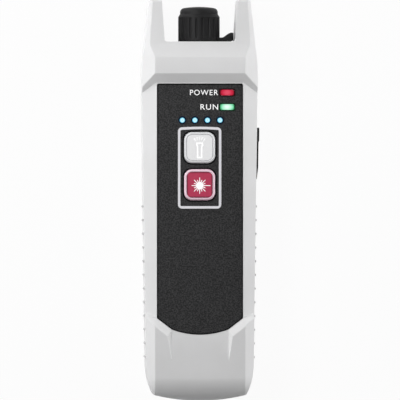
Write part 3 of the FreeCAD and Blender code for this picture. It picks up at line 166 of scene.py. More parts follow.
class Finish:
    """A material with one shader, whose fixed sockets are given by name."""

    def __init__(self, name, roughness, **sockets):
        self.material = bpy.data.materials.new(name)
        self.material.use_nodes = True
        self.tree = self.material.node_tree
        self.shader = self.tree.nodes["Principled BSDF"]
        self.shader.inputs["Roughness"].default_value = roughness
        for key, value in sockets.items():
            self.shader.inputs[key.replace("_", " ")].default_value = value
        self.place = self.add("ShaderNodeTexCoord", output=3)
        self.x, self.y, _ = self.place.parts()

    def add(self, kind, settings=None, inputs=None, output=0):
        """Adds a node to this material."""
        return Wire.add(self.tree, kind, settings, inputs, output)

    def feed(self, name, wire):
        """Leads a wire to one of the shader's sockets."""
        self.tree.links.new(wire.socket, self.shader.inputs[name])

    def noise(self, size, detail, squeeze=None):
        """A noise from 0 to 1 with patches about size metres wide, narrower by squeeze along x, y and z."""
        place = self.place
        if squeeze:
            place = self.add("ShaderNodeMapping", None, {"Vector": place, "Scale": squeeze})
        inputs = {"Vector": place, "Scale": 1 / size, "Detail": detail}
        return self.add("ShaderNodeTexNoise", None, inputs)

    def blend(self, factor, low, high):
        """A colour between low and high, each a colour or a wire."""
        settings = {"data_type": "RGBA", "clamp_factor": True}
        ends = [c if isinstance(c, Wire) else (*c, 1) for c in (low, high)]
        return self.add("ShaderNodeMix", settings, {0: factor, 6: ends[0], 7: ends[1]}, output=2)

    def bump(self, height, strength, depth):
        """Lets the light see a relief that is depth metres deep."""
        inputs = {"Height": height, "Strength": strength, "Distance": depth}
        self.feed("Normal", self.add("ShaderNodeBump", None, inputs))


print("finishes are ready to mix")

# %% [markdown]
# ## Moulded plastic and rubber
# The casing is a light grey moulding with a fine spark-eroded grain, which takes the shine off and makes
# highlights soft. The same recipe with other colours gives the silicone keys and the black rubber: a slow
# mottle in the colour, a fine grain in the bump, and a little of the grain in the roughness. The ribs of the
# grip get darker colours, which are painted shade for their shadowed undersides. A grain is written as the
# roughness, the width of its patches and its depth.

# %% Finishes of the mouldings
MOTTLE_SIZE = 12 * MM
GRAIN_IN_COLOUR = 0.25
GRAIN_IN_ROUGHNESS = 0.12
FINE_IN_BUMP = 0.3


def moulded(name, dark, light, roughness, grain_size, grain_depth, **sockets):
    """A moulding between two shades, with its grain."""
    finish = Finish(name, roughness, **sockets)
    mottle = finish.noise(MOTTLE_SIZE, detail=3.0)
    grain = finish.noise(grain_size, detail=3.0)
    fine = finish.noise(grain_size / 3, detail=1.0)
    shade = mottle * (1 - GRAIN_IN_COLOUR) + grain * GRAIN_IN_COLOUR
    finish.feed("Base Color", finish.blend(shade, dark, light))
    finish.feed("Roughness", roughness - GRAIN_IN_ROUGHNESS / 2 + GRAIN_IN_ROUGHNESS * grain)
    relief = grain * (1 - FINE_IN_BUMP) + fine * FINE_IN_BUMP
    finish.bump(relief, strength=0.5, depth=grain_depth)
    return finish.material


casing_grain = (0.56, 0.6 * MM, 0.03 * MM)
casing_gloss = {"Specular_IOR_Level": 0.22}
casing_shades = (screen(224, 224, 224), screen(236, 236, 237))
# Painted shade: the ribs get darker colours than the casing, for the shadowed undersides of the ribs.
rib_shade_colours = (screen(192, 192, 192), screen(208, 208, 208))
casing_plastic = moulded("casing_plastic", *casing_shades, *casing_grain, **casing_gloss)
rib_shade_plastic = moulded("rib_shade_plastic", *rib_shade_colours, *casing_grain, **casing_gloss)

# Painted light: a weak white emission makes the upper key, the printed signs and the captions glow, though
# none of them is a lamp.
painted_white_glow = {"Emission_Color": (1, 1, 1, 1)}
key_grain = (0.45, 0.8 * MM, 0.01 * MM)
key_shades = (screen(245, 245, 246), screen(251, 251, 252))
# The panel of the upper key glows a little: painted light.
key_silicone_and_glow = moulded("key_silicone_and_glow", *key_shades, *key_grain, **painted_white_glow, Emission_Strength=0.06)
# Painted shade: the groove and the border of the upper key get darker colours than its panel.
key_groove_shade = moulded("key_groove_shade", screen(192, 194, 197), screen(204, 206, 209), *key_grain)
key_border_shade = moulded("key_border_shade", screen(214, 215, 217), screen(224, 225, 227), *key_grain)
key_pink = moulded("key_pink", screen(243, 210, 224), screen(249, 219, 232), *key_grain)

rubber_grain = (0.58, 0.5 * MM, 0.03 * MM)
rubber = moulded("rubber", screen(20, 20, 21), screen(33, 33, 34), *rubber_grain, Specular_IOR_Level=0.3)
seal_grain = (0.6, 0.8 * MM, 0.01 * MM)
seal_silicone = moulded("seal_silicone", screen(150, 152, 155), screen(165, 167, 170), *seal_grain)
switch_grain = (0.4, 0.4 * MM, 0.01 * MM)
switch_plastic = moulded("switch_plastic", screen(28, 28, 30), screen(44, 44, 47), *switch_grain)
print("moulded finishes:", casing_plastic.name, key_silicone_and_glow.name, key_pink.name, rubber.name)

# %% [markdown]
# ## The label film
# The label is a dark charcoal film with a fine texture that shows as a lighter speckle. Along its cut edge
# and the edges of its windows runs a narrow darker band, which is painted shade for the shadow in the gap
# around the film. The band gets a material of its own, because it will be faces of its own, and so does the
# edge of the printed outline, whose darker band is painted shade for its rounded edges. Around the lamps
# a little coloured light gets into the film: the formula measures the distance from the nearest lamp and
# tints what is close.

# %% Finishes of the label
LEVELS = 4
SPECKLE_SIZE = 0.55 * MM
SPECKLE_RISE = (0.36, 0.68)
CLOUD_SIZE = 6 * MM
CLOUD_SHARE = 0.2
INK_PATCH = 0.8 * MM
LEVEL_SPILL = (1.5 * MM, 1.95 * MM)
LEVEL_TINT = screen(3, 18, 40)
WINDOW_SPILL = (0.25 * MM, 0.8 * MM)
WINDOW_TINTS = {"red_window": screen(40, 8, 14), "green_window": screen(4, 46, 24)}


def level_distance(finish):
    """Distance from the nearest of the level lights, which stand in one row."""
    first, last = (sum(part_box(f"level_lens_{i}"), Vector()) / 2 for i in (1, LEVELS))
    pitch = (last.x - first.x) / (LEVELS - 1)
    place = (finish.x - first.x) / pitch
    nearest = place.calculate("ROUND").higher(0.0).lower(LEVELS - 1.0)
    across, along = (place - nearest) * pitch, finish.y - first.y
    return (across * across + along * along) ** 0.5


def window_distance(finish, node):
    """Distance from the edge of a long window."""
    low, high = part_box(node)
    across = (abs(finish.x - (low.x + high.x) / 2) - (high.x - low.x) / 2).higher(0.0)
    along = (abs(finish.y - (low.y + high.y) / 2) - (high.y - low.y) / 2).higher(0.0)
    return (across * across + along * along) ** 0.5


def label_film(name, dark, light, gloss):
    """Speckled film, tinted where the lamps shine into it."""
    finish = Finish(name, 0.5, Specular_IOR_Level=gloss)
    speckle = finish.noise(SPECKLE_SIZE, detail=2.5)
    cloud = finish.noise(CLOUD_SIZE, detail=3.0)
    shade = speckle.rise(*SPECKLE_RISE) * (1 - CLOUD_SHARE) + cloud * CLOUD_SHARE
    colour = finish.blend(shade, dark, light)
    level_spill = 1 - level_distance(finish).rise(*LEVEL_SPILL)
    colour = finish.blend(level_spill, colour, LEVEL_TINT)
    for window, tint in WINDOW_TINTS.items():
        spill = 1 - window_distance(finish, window).rise(*WINDOW_SPILL)
        colour = finish.blend(spill, colour, tint)
    finish.feed("Base Color", colour)
    finish.feed("Roughness", 0.58 - 0.15 * speckle)
    finish.bump(speckle, strength=0.6, depth=0.04 * MM)
    return finish.material


def printed(name, colour, **sockets):
    """Screen-printed ink: one colour, a little uneven, slightly rough."""
    finish = Finish(name, 0.45, **sockets)
    patch = finish.noise(INK_PATCH, detail=2.0)
    worn = tuple(0.9 * c for c in colour)
    finish.feed("Base Color", finish.blend(patch, worn, colour))
    finish.bump(patch, strength=0.3, depth=0.01 * MM)
    return finish.material


film = label_film("label_film", screen(20, 20, 21), screen(66, 66, 67), gloss=0.32)
# Painted shade: the band along the film's cut edge and windows is darker, for the shadow in the gap around
# it.
film_edge_shade = label_film("film_edge_shade", screen(4, 4, 5), screen(14, 14, 15), gloss=0.08)
outline_ink = printed("outline_ink", screen(250, 249, 254))
# Painted shade: the band along the edges of the printed outline is darker, for the shade on its rounded
# edges.
outline_edge_shade = printed("outline_edge_shade", screen(72, 72, 75))
# The printed ink glows with painted light, so the signs and captions stay bright.
sign_ink_and_glow = printed("sign_ink_and_glow", screen(252, 252, 252), **painted_white_glow, Emission_Strength=0.34)
print("label finishes:", film.name, film_edge_shade.name, outline_ink.name, outline_edge_shade.name, sign_ink_and_glow.name)

# %% [markdown]
# ## The lit windows
# The indicators are clear light pipes with a lamp behind them, so they are brightest in their middle. A ramp
# over the distance from each window's middle gives the emission colour, and a weak streak keeps the glow
# from being too even. The ramp is tied to the window's own box, so it stays right if the solids change.

# %% Finishes of the light pipes
STREAK_SIZE = 1.2 * MM
STREAK = 0.18
LENS_SHADE = 0.75


def lit(name, node, stops, strength, upright):
    """A glow along the ramp's stops, from a lamp's middle to its sides and, by upright, to its ends."""
    low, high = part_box(node)
    centre, half = (low + high) / 2, (high - low) / 2
    finish = Finish(name, 0.3, Emission_Strength=strength, Specular_IOR_Level=0.25)
    across = (finish.x - centre.x) / half.x
    along = (finish.y - centre.y) / half.y
    streak = finish.noise(STREAK_SIZE, detail=1.0, squeeze=(1, 2, 1)) - 0.5
    spread = across * across + upright * along * along + STREAK * streak
    glow = finish.add("ShaderNodeValToRGB", {"stops": stops}, {"Fac": spread})
    finish.feed("Base Color", finish.blend(LENS_SHADE, glow, (0, 0, 0)))
    finish.feed("Emission Color", glow)
    return finish.material


red_stops = [
    (0, screen(236, 84, 108)),
    (0.4, screen(218, 48, 78)),
    (0.75, screen(196, 34, 60)),
    (1, screen(120, 16, 32)),
]
green_stops = [
    (0, screen(240, 255, 250)),
    (0.16, screen(205, 248, 226)),
    (0.6, screen(140, 232, 186)),
    (1, screen(64, 160, 104)),
]
blue_stops = [
    (0, screen(132, 222, 246)),
    (0.2, screen(224, 252, 255)),
    (0.6, screen(172, 240, 255)),
    (1, screen(70, 180, 224)),
]
red_glow = lit("red_glow", "red_window", red_stops, strength=0.72, upright=0.3)
green_glow = lit("green_glow", "green_window", green_stops, strength=0.85, upright=0.3)
level_glows = {
    f"level_lens_{i}": lit(f"level_glow_{i}", f"level_lens_{i}", blue_stops, strength=0.85, upright=1.0)
    for i in range(1, LEVELS + 1)
}
print("lit finishes:", red_glow.name, green_glow.name, len(level_glows), "level lights")

# %% [markdown]
# ## Key face and inner parts
# The red field of the lower key darkens towards its edge: painted shade for the shadow where the film dips.
# The metals are brushed or turned: a noise squeezed along one axis gives the fine lines. The parts inside the
# casing get plain but honest finishes too, since the casing could be opened.

# %% Finishes of the red field and the metals
FIELD_FADE, FIELD_EDGE = 0.75 * MM, 0.1 * MM
FIELD_PATCH = 1.1 * MM
METAL_LINE = 0.8 * MM


def red_field():
    """The red film, with painted shade along its edge."""
    finish = Finish("red_field", 0.4)
    low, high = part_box("laser_key_face")
    centre, half = (low + high) / 2, (high.x - low.x) / 2
    aside = abs(finish.x - centre.x).higher(abs(finish.y - centre.y))
    # Painted shade: the edge of the field blends to a darker red.
    rim = aside.rise(half - FIELD_FADE, half - FIELD_EDGE)
    patch = finish.noise(FIELD_PATCH, detail=2.0)
    field = finish.blend(patch, screen(192, 54, 88), screen(206, 66, 100))
    finish.feed("Base Color", finish.blend(rim, field, screen(128, 38, 62)))
    finish.bump(patch, strength=0.3, depth=0.02 * MM)
    return finish.material


def metal(name, colour, roughness, squeeze):
    """Bare metal with fine lines, which run across the axis that is squeezed."""
    finish = Finish(name, roughness, Metallic=1.0)
    lines = finish.noise(METAL_LINE, detail=2.0, squeeze=squeeze)
    finish.feed("Base Color", finish.blend(lines, tuple(0.85 * c for c in colour), colour))
    finish.feed("Roughness", roughness - 0.05 + 0.12 * lines)
    return finish.material


key_red = red_field()
steel = metal("steel", screen(200, 200, 202), roughness=0.3, squeeze=(1, 1, 8))
port_metal = metal("port_metal", screen(214, 214, 216), roughness=0.22, squeeze=(1, 12, 1))
brass = metal("brass", screen(205, 170, 100), roughness=0.3, squeeze=(1, 10, 1))
print("red field and metals:", key_red.name, steel.name, port_metal.name, brass.name)

# %% Finishes of the other inner parts
ceramic = moulded("ceramic", screen(236, 234, 228), screen(246, 245, 240), 0.2, 0.6 * MM, 0.01 * MM)
board_mask = moulded("board_mask", screen(14, 78, 44), screen(22, 96, 56), 0.35, 0.7 * MM, 0.02 * MM)
cell_wrap = moulded("cell_wrap", screen(38, 72, 130), screen(48, 86, 148), 0.3, 2 * MM, 0.01 * MM)
wire_red = moulded("wire_red", screen(150, 26, 26), screen(172, 36, 34), 0.4, 0.6 * MM, 0.01 * MM)
lamp_white = moulded("lamp_white", screen(238, 238, 230), screen(248, 248, 242), 0.3, 0.5 * MM, 0.01 * MM)
clear_shades = (screen(236, 240, 243), screen(248, 250, 252))
lamp_clear = moulded("lamp_clear", *clear_shades, 0.06, 2 * MM, 0.005 * MM, Transmission_Weight=0.85)
print("inner finishes:", ceramic.name, board_mask.name, cell_wrap.name, wire_red.name, lamp_clear.name)

# %% [markdown]
# ## Dressing the solids that stay
# A solid whose shape is right keeps its mesh and only changes its material. The casing halves, the label,
# the outline, both keys and the cap aren't in this list: the next steps make a finer copy of each.

# %% Give each solid its finish
worn_by = {
    key_red: ["laser_key_face"],
    red_glow: ["red_window"],
    green_glow: ["green_window"],
    rubber: ["case_seal", "socket_cover"],
    seal_silicone: ["key_seal"],
    switch_plastic: ["torch_switch", "laser_switch", "control_chip", "torch_plunger", "laser_plunger"],
    steel: ["case_screws", "board_screws", "charging_socket", "cell_contacts", "torch_lamp_legs"],
    port_metal: ["port_barrel", "port_nut"],
    brass: ["laser_module"],
    ceramic: ["ferrule_sleeve"],
    board_mask: ["main_board", "laser_board"],
    cell_wrap: ["lithium_cell"],
    wire_red: ["cell_leads", "laser_leads"],
    lamp_white: ["indicator_leds"],
    lamp_clear: ["torch_lamp"],
}
worn_by.update({glow: [name] for name, glow in level_glows.items()})
for material, names in worn_by.items():
    for name in names:
        nodes[name].material_slots[0].material = material
print(sum(len(names) for names in worn_by.values()), "solids have their finish")

# %% [markdown]
# ## Which edges to round
# A mould has no knife edges. The casing halves come with sharp ones, so each half is copied, its loose
# triangles are merged back into whole faces, and the edges that face the outside get a small bevel. Whether
# an edge faces the outside is asked with a ray: from the edge outwards, nothing of the two halves may be in
# the way. Short stray rows of edges are left out. They are slivers in a curved corner, where a bevel would
# tear the surface. A Bevel modifier with an angle limit would be quicker to set up, but it would round the
# hidden inside as well and couldn't leave such rows out.

# %% Find the sharp edges on the outside
MERGE = 0.002 * MM
FLAT_ANGLE = math.radians(0.4)
EDGE_ANGLE = math.radians(21)
RAY_START = 0.1 * MM
RAY_REACH = 0.3


def merged_copy(node):
    """A node's mesh as whole faces in an editable form."""
    solid = bmesh.new()
    solid.from_mesh(nodes[node].data)
    bmesh.ops.remove_doubles(solid, verts=solid.verts, dist=MERGE)
    bmesh.ops.dissolve_limit(solid, angle_limit=FLAT_ANGLE, verts=solid.verts, edges=solid.edges)
    solid.normal_update()
    return solid


def search_tree(names):
    """Several solids as one tree that rays can be sent into."""
    together = bmesh.new()
    for name in names:
        together.from_mesh(nodes[name].data)
    tree = BVHTree.FromBMesh(together)
    together.free()
    return tree


def faces_outside(edge, tree):
    """Whether an edge is sharp, stands out and has nothing in front of it."""
    faces = edge.link_faces
    if len(faces) != 2 or not edge.is_convex or edge.calc_face_angle(0) < EDGE_ANGLE:
        return False
    out = (faces[0].normal + faces[1].normal).normalized()
    start = (edge.verts[0].co + edge.verts[1].co) / 2 + RAY_START * out
    return tree.ray_cast(start, out, RAY_REACH)[0] is None


def long_rows(edges, least):
    """Leaves out connected rows of edges that are shorter than least."""
    waiting, kept = set(edges), set()
    for first in edges:
        if first not in waiting:
            continue
        waiting.remove(first)
        row = [first]
        for edge in row:
            beside = [e for vert in edge.verts for e in vert.link_edges if e in waiting]
            row += dict.fromkeys(beside)
            waiting.difference_update(beside)
        if sum(edge.calc_length() for edge in row) > least:
            kept.update(row)
    return [edge for edge in edges if edge in kept]


print("edges over", round(math.degrees(EDGE_ANGLE)), "degrees count as sharp")

# %% [markdown]
# ## From an editable form to a piece
# A bmesh is easy to reshape, but only an object can be seen. `settle` makes that object: it drops faces
# without any area, shades the others smooth and keeps steep edges sharp. A Weighted Normal modifier lets the
# large faces decide the shading, so a bevel doesn't bend the light on the flat beside it. Then the piece
# is attached to the body it rides on.


# %% Round the edges and settle the copy
def round_edges(solid, edges, width, segments=3):
    """A round bevel along these edges."""
    bmesh.ops.bevel(
        solid,
        geom=edges,
        offset=width,
        offset_type="OFFSET",
        segments=segments,
        profile=0.5,
        affect="EDGES",
        clamp_overlap=False,
    )


def settle(solid, name, materials, sharp):
    """Turns the editable form into an object at the origin, sharp where faces meet at more degrees."""
    bmesh.ops.dissolve_degenerate(solid, dist=MERGE / 2, edges=solid.edges)
    mesh = bpy.data.meshes.new(name)
    solid.to_mesh(mesh)
    solid.free()
    if "custom_normal" in mesh.attributes:
        mesh.attributes.remove(mesh.attributes["custom_normal"])
    mesh.polygons.foreach_set("use_smooth", [True] * len(mesh.polygons))
    mesh.set_sharp_from_angle(angle=math.radians(sharp))
    for material in materials:
        mesh.materials.append(material)
    piece = bpy.data.objects.new(name, mesh)
    bpy.context.scene.collection.objects.link(piece)
    return piece


def keep_faces_flat(piece):
    """Lets the large faces decide the shading."""
    weighted = piece.modifiers.new("flat_faces", "WEIGHTED_NORMAL")
    weighted.keep_sharp = True
    weighted.weight = 80


def carried(piece, body):
    """Lets a piece ride on a body."""
    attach(piece, body)
    return piece


print("copies can be rounded, settled and carried")

# %% [markdown]
# ## The two halves of the casing
# The edges of the thin rim beside the label and those in the label's pocket stay sharp, because there is no
# room for a bevel. So do the ribs of the grip, except along the parting line, where the halves meet in a
# soft groove. Before that, the outer edge of the long strips beside the label is lowered: their corners
# slide down along the faces that end them, so that the solid stays closed.

# %% Tell ribs, rim and strips apart
CLOSE = 0.1 * MM
PARTING = 12.0 * MM
LABEL_SINK = 0.15 * MM
LABEL_RIM_REACH = 18.1 * MM
POCKET_HALF_WIDTH = 18 * MM
POCKET_HALF_LENGTH = 60 * MM
POCKET_FLOOR = 15 * MM
GRIP_SIDE = 21.3 * MM
GRIP_LOW = -66 * MM
GRIP_HIGH = 0
RIB_FOOT = 6.5 * MM
RIB_TOP = 24.0 * MM
RIB_DEEP = 1.0 * MM
RIB_LONG = 1.5 * MM
STRIP_TILTS = (0.25, 0.4)
STRIP_FACING = 0.9
STRIP_AREA = 100 * MM * MM
label_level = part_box("front_label")[1].z
face_level = label_level + LABEL_SINK


def on_grip(places):
    """Whether all these places are on the side walls that carry the ribs."""
    return all(abs(p.x) > GRIP_SIDE and GRIP_LOW < p.y < GRIP_HIGH for p in places)


def casing_edge(edge):
    """Leaves out the rim beside the label, its pocket and the ribs of the grip."""
    ends = [vert.co for vert in edge.verts]
    on_rim = any(abs(p.z - face_level) < CLOSE and abs(p.x) < LABEL_RIM_REACH for p in ends)
    inside = all(abs(p.x) < POCKET_HALF_WIDTH and abs(p.y) < POCKET_HALF_LENGTH for p in ends)
    in_pocket = inside and all(POCKET_FLOOR < p.z < face_level for p in ends)
    at_rib = on_grip(ends) and all(RIB_FOOT - CLOSE < p.z < RIB_TOP + CLOSE for p in ends)
    at_parting = all(abs(p.z - PARTING) < MERGE for p in ends)
    return not on_rim and not in_pocket and (at_parting or not at_rib)


def rib_face(face):
    """Whether a face is one of the small ones of a grip rib."""
    places = [vert.co for vert in face.verts]
    deep, long = (max(p[i] for p in places) - min(p[i] for p in places) for i in range(2))
    return on_grip(places) and deep < RIB_DEEP and long < RIB_LONG


def is_strip(face):
    """Whether a face is one of the long strips that slope away beside the label."""
    low, high = STRIP_TILTS
    sloping = low < abs(face.normal.x) < high and face.normal.z >= STRIP_FACING
    return sloping and face.calc_area() >= STRIP_AREA


print("front of the casing", round(face_level / MM, 2), "mm above the back")

# %% Round the two halves of the casing
CASING_EDGE = 0.28 * MM
SHORTEST_ROW = 1.0 * MM
STRIP_SLOPE = math.tan(math.radians(28.5))
casing_tree = search_tree(["front_shell", "rear_shell"])


def slope_strips(solid):
    """Lowers the outer edge of the strips beside the label, along the faces that end them."""
    for strip in filter(is_strip, list(solid.faces)):
        inner = min(abs(vert.co.x) for vert in strip.verts)
        for vert in strip.verts:
            drop = vert.co.z - face_level + STRIP_SLOPE * (abs(vert.co.x) - inner)
            end = max((face.normal for face in vert.link_faces), key=lambda normal: abs(normal.y))
            vert.co += drop * Vector((0, end.z / end.y, -1))
    solid.normal_update()


def rounded_half(node, name, reshape=None):
    """A rounded copy of one half, that stands for it. The ribs get the second finish, a painted shade."""
    solid = merged_copy(node)
    if reshape:
        reshape(solid)
    # The faces of the ribs get the second finish, which is painted shade.
    for face in solid.faces:
        face.material_index = int(rib_face(face))
    edges = [edge for edge in solid.edges if faces_outside(edge, casing_tree) and casing_edge(edge)]
    edges = long_rows(edges, SHORTEST_ROW)
    round_edges(solid, edges, CASING_EDGE)
    piece = settle(solid, name, [casing_plastic, rib_shade_plastic], sharp=34)
    keep_faces_flat(piece)
    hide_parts(node)
    print(name, len(edges), "edges rounded,", len(piece.data.polygons), "faces")
    return piece


halves = [
    rounded_half("front_shell", "casing_front", slope_strips),
    rounded_half("rear_shell", "casing_back"),
]
for half in halves:
    carried(half, "casing")

# %% [markdown]
# ## Painted shade along the edges of the label and of the outline
# The shadow in the gap around the cut film is painted as a darker band along its edges, and the raised
# outline round the keys gets painted shade along its rounded edges. So both are copied, and the upper faces
# of each are inset together: that leaves a field, and a narrow band along every edge. All but the field
# gets the darker finish, the painted shade. A formula in the finish could darken the edges too, but it
# would have to know every opening, which an inset finds by itself.

# %% Frame the label and the outline
RIM_WIDTH = 0.42 * MM
LINE_EDGE = 0.1 * MM
TOP_REACH = 0.05 * MM
FACING_UP = 0.99


def top_faces(solid, level):
    """The faces at this level that look straight up."""
    upward = [face for face in solid.faces if face.normal.z > FACING_UP]
    return [face for face in upward if abs(face.calc_center_median().z - level) < TOP_REACH]


def framed(node, name, finishes, width):
    """A copy of a flat piece, with the second finish, a painted shade, along the edges of its upper side."""
    solid = merged_copy(node)
    upper = top_faces(solid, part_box(node)[1].z)
    even = {"use_even_offset": True, "use_boundary": True}
    band = bmesh.ops.inset_region(solid, faces=upper, thickness=width, **even)
    for face in solid.faces:
        face.material_index = int(face not in upper)
    piece = settle(solid, name, finishes, sharp=30)
    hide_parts(node)
    print(name, len(band["faces"]), "faces in its band")
    return piece


label_plate = framed("front_label", "label_plate", [film, film_edge_shade], RIM_WIDTH)
carried(label_plate, "casing")
key_line = framed("key_outline", "key_line", [outline_ink, outline_edge_shade], LINE_EDGE)
carried(key_line, "casing")

# %% [markdown]
# ## Keys
# Both keys are silicone caps with a soft edge. The upper one has a shallow groove just inside its edge. Its
# top face is inset three times, for a plain border and the two slopes of the groove, and the corners that
# both slopes share are lowered. A bump could draw the groove as well, but real slopes catch the light from
# every side. The groove and the border outside it get darker colours than the panel inside: painted shade.

# %% Round the keys
GROOVE_BORDER = 0.36 * MM
GROOVE_SLOPE = 0.17 * MM
GROOVE_DEPTH = 0.2 * MM
KEY_SHOULDER = 0.55 * MM
PLAIN_ROUNDING = 0.12 * MM
GROOVED_ROUNDING = 0.08 * MM


def press_groove(solid, level):
    """A groove in the top of a key: finish 0 on its panel, 1 in the groove and 2 elsewhere, the last two with
    painted shade.
    """
    panel = top_faces(solid, level)
    rings = []
    for margin in (GROOVE_BORDER, GROOVE_SLOPE, GROOVE_SLOPE):
        ring = bmesh.ops.inset_region(solid, faces=panel, thickness=margin, use_even_offset=True)
        rings.append(ring["faces"])
    outer_slope, inner_slope = ({vert for face in ring for vert in face.verts} for ring in rings[1:])
    for vert in outer_slope & inner_slope:
        vert.co.z -= GROOVE_DEPTH
    for face in solid.faces:
        face.material_index = 0 if face in panel else 2
    for face in rings[1] + rings[2]:
        face.material_index = 1


def rounded_key(node, name, finishes, width, reshape=None):
    """A copy of a key with a soft upper edge, that stands for it."""
    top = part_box(node)[1].z
    solid = merged_copy(node)
    if reshape:
        reshape(solid, top)
    solid.normal_update()
    edges = [e for e in solid.edges if e.is_convex and e.calc_face_angle(0) > EDGE_ANGLE]
    edges = [e for e in edges if all(v.co.z > top - KEY_SHOULDER for v in e.verts)]
    round_edges(solid, edges, width, segments=2)
    piece = settle(solid, name, finishes, sharp=60)
    keep_faces_flat(piece)
    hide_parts(node)
    print(name, len(edges), "edges rounded")
    return piece


torch_finishes = [key_silicone_and_glow, key_groove_shade, key_border_shade]
torch_cap = rounded_key("torch_key", "torch_key_cap", torch_finishes, GROOVED_ROUNDING, press_groove)
carried(torch_cap, "torch_key")
laser_cap = rounded_key("laser_key", "laser_key_cap", [key_pink], PLAIN_ROUNDING)
carried(laser_cap, "laser_key")

# %% [markdown]
# ## Geometry Nodes: a fan of rays
# A sunburst and the beam of a torch are both a fan: one tapered ray, repeated round a centre. Geometry
# Nodes suit that well. A line of points gives the count, each point gets one ray turned by its number
# times a step, and the named inputs make the same tree serve every fan.


# %% A tree with named inputs, and the mesh it grows
def geometry_tree(name, sizes):
    """An empty tree with a named input for each size, and wires from those inputs."""
    tree = bpy.data.node_groups.new(name, "GeometryNodeTree")
    tree.interface.new_socket("Start", in_out="INPUT", socket_type="NodeSocketGeometry")
    for title, value in sizes.items():
        kind = "NodeSocketInt" if isinstance(value, int) else "NodeSocketFloat"
        tree.interface.new_socket(title, in_out="INPUT", socket_type=kind).default_value = value
    tree.interface.new_socket("Geometry", in_out="OUTPUT", socket_type="NodeSocketGeometry")
    inputs = tree.nodes.new("NodeGroupInput")
    return tree, {socket.name: Wire(socket) for socket in inputs.outputs if socket.name}


def close_tree(tree, geometry, material):
    """Makes instances real, gives them their finish and leads them out of the tree."""
    real = Wire.add(tree, "GeometryNodeRealizeInstances", None, {"Geometry": geometry})
    painted = Wire.add(tree, "GeometryNodeSetMaterial", None, {"Geometry": real, "Material": material})
    tree.links.new(painted.socket, tree.nodes.new("NodeGroupOutput").inputs[0])


def grown(name, tree, sizes=None, start=None):
    """Runs a tree once with these sizes and keeps the plain mesh."""
    piece = bpy.data.objects.new(name, start or bpy.data.meshes.new(name))
    bpy.context.scene.collection.objects.link(piece)
    rule = piece.modifiers.new("rule", "NODES")
    rule.node_group = tree
    for item in tree.interface.items_tree:
        if item.in_out == "INPUT" and item.name in (sizes or {}):
            rule[item.identifier] = sizes[item.name]
    evaluated = piece.evaluated_get(bpy.context.evaluated_depsgraph_get())
    mesh = bpy.data.meshes.new_from_object(evaluated)
    piece.modifiers.clear()
    piece.data = mesh
    return piece


def spot(tree, x, y, z):
    """A vector from three numbers or wires."""
    return Wire.add(tree, "ShaderNodeCombineXYZ", None, {0: x, 1: y, 2: z})


print("trees end with Realize Instances and Set Material")


# %% The fan of rays
def ray_fan(material):
    """The rule of a fan: one tapered ray, turned step by step round a middle."""
    sizes = {
        "Count": 8,
        "Middle X": 0.0,
        "Middle Y": 0.0,
        "Level": 0.0,
        "First Turn": 0.0,
        "Step": 0.5,
        "Inner": 1.0 * MM,
        "Outer": 3.0 * MM,
        "Root Width": 0.5 * MM,
        "Tip Width": 0.3 * MM,
        "Thickness": 0.05 * MM,
    }
    tree, size = geometry_tree("ray_fan", sizes)
    block = Wire.add(tree, "GeometryNodeMeshCube", None, {"Size": (1, 1, 1), "Vertices Y": 4})
    x, y, z = Wire.add(tree, "GeometryNodeInputPosition").parts()
    along = y + 0.5
    width = size["Root Width"] + (size["Tip Width"] - size["Root Width"]) * along
    reach = size["Inner"] + (size["Outer"] - size["Inner"]) * along
    shaped = spot(tree, x * width, reach, (z + 0.5) * size["Thickness"])
    ray = Wire.add(tree, "GeometryNodeSetPosition", None, {"Geometry": block, "Position": shaped})
    middle = spot(tree, size["Middle X"], size["Middle Y"], size["Level"])
    line = {"Count": size["Count"], "Start Location": middle, "Offset": (0, 0, 0)}
    points = Wire.add(tree, "GeometryNodeMeshLine", None, line)
    number = Wire.add(tree, "GeometryNodeInputIndex")
    turn = spot(tree, 0.0, 0.0, size["First Turn"] + size["Step"] * number)
    rays = {"Points": points, "Instance": ray, "Rotation": turn}
    close_tree(tree, Wire.add(tree, "GeometryNodeInstanceOnPoints", None, rays), material)
    return tree


fan = ray_fan(sign_ink_and_glow)
print("ray fan with", len(fan.nodes), "nodes")

# %% [markdown]
# ## Signs on the keys
# The signs are printed, so they are thin plates just proud of the keys. The lower key shows a round source
# with sixteen rays, long and short in turn, and one longer to the right. The upper key shows a small torch:
# a fan of five rays over an outlined lamp. The lamp starts as a whole plate. Its two lids are inset, a
# bridge joins the inner outlines, and the faces inside them are taken out.

# %% Sunburst of the lower key
SIGN_THICKNESS = 0.05 * MM
BURST_DROP = 0.35 * MM
BURST_DISC = 1.46 * MM
DISC_CORNERS = 48
DISC_THICKNESS = SIGN_THICKNESS * 1.1
LONG_RAY = 3.3 * MM
SHORT_RAY = 2.5 * MM
RIGHT_RAY = 4.4 * MM
field_low, field_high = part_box("laser_key_face")
field_middle = (field_low + field_high) / 2


def plate(points, level, thickness):
    """A flat plate with this outline, standing on level."""
    solid = bmesh.new()
    face = solid.faces.new([solid.verts.new((x, y, level)) for x, y in points])
    if face.normal.z < 0:
        face.normal_flip()
    solid.normal_update()
    top = bmesh.ops.extrude_face_region(solid, geom=[face])["geom"]
    lifted = [v for v in top if isinstance(v, bmesh.types.BMVert)]
    bmesh.ops.translate(solid, verts=lifted, vec=(0, 0, thickness))
    bmesh.ops.recalc_face_normals(solid, faces=solid.faces)
    return solid


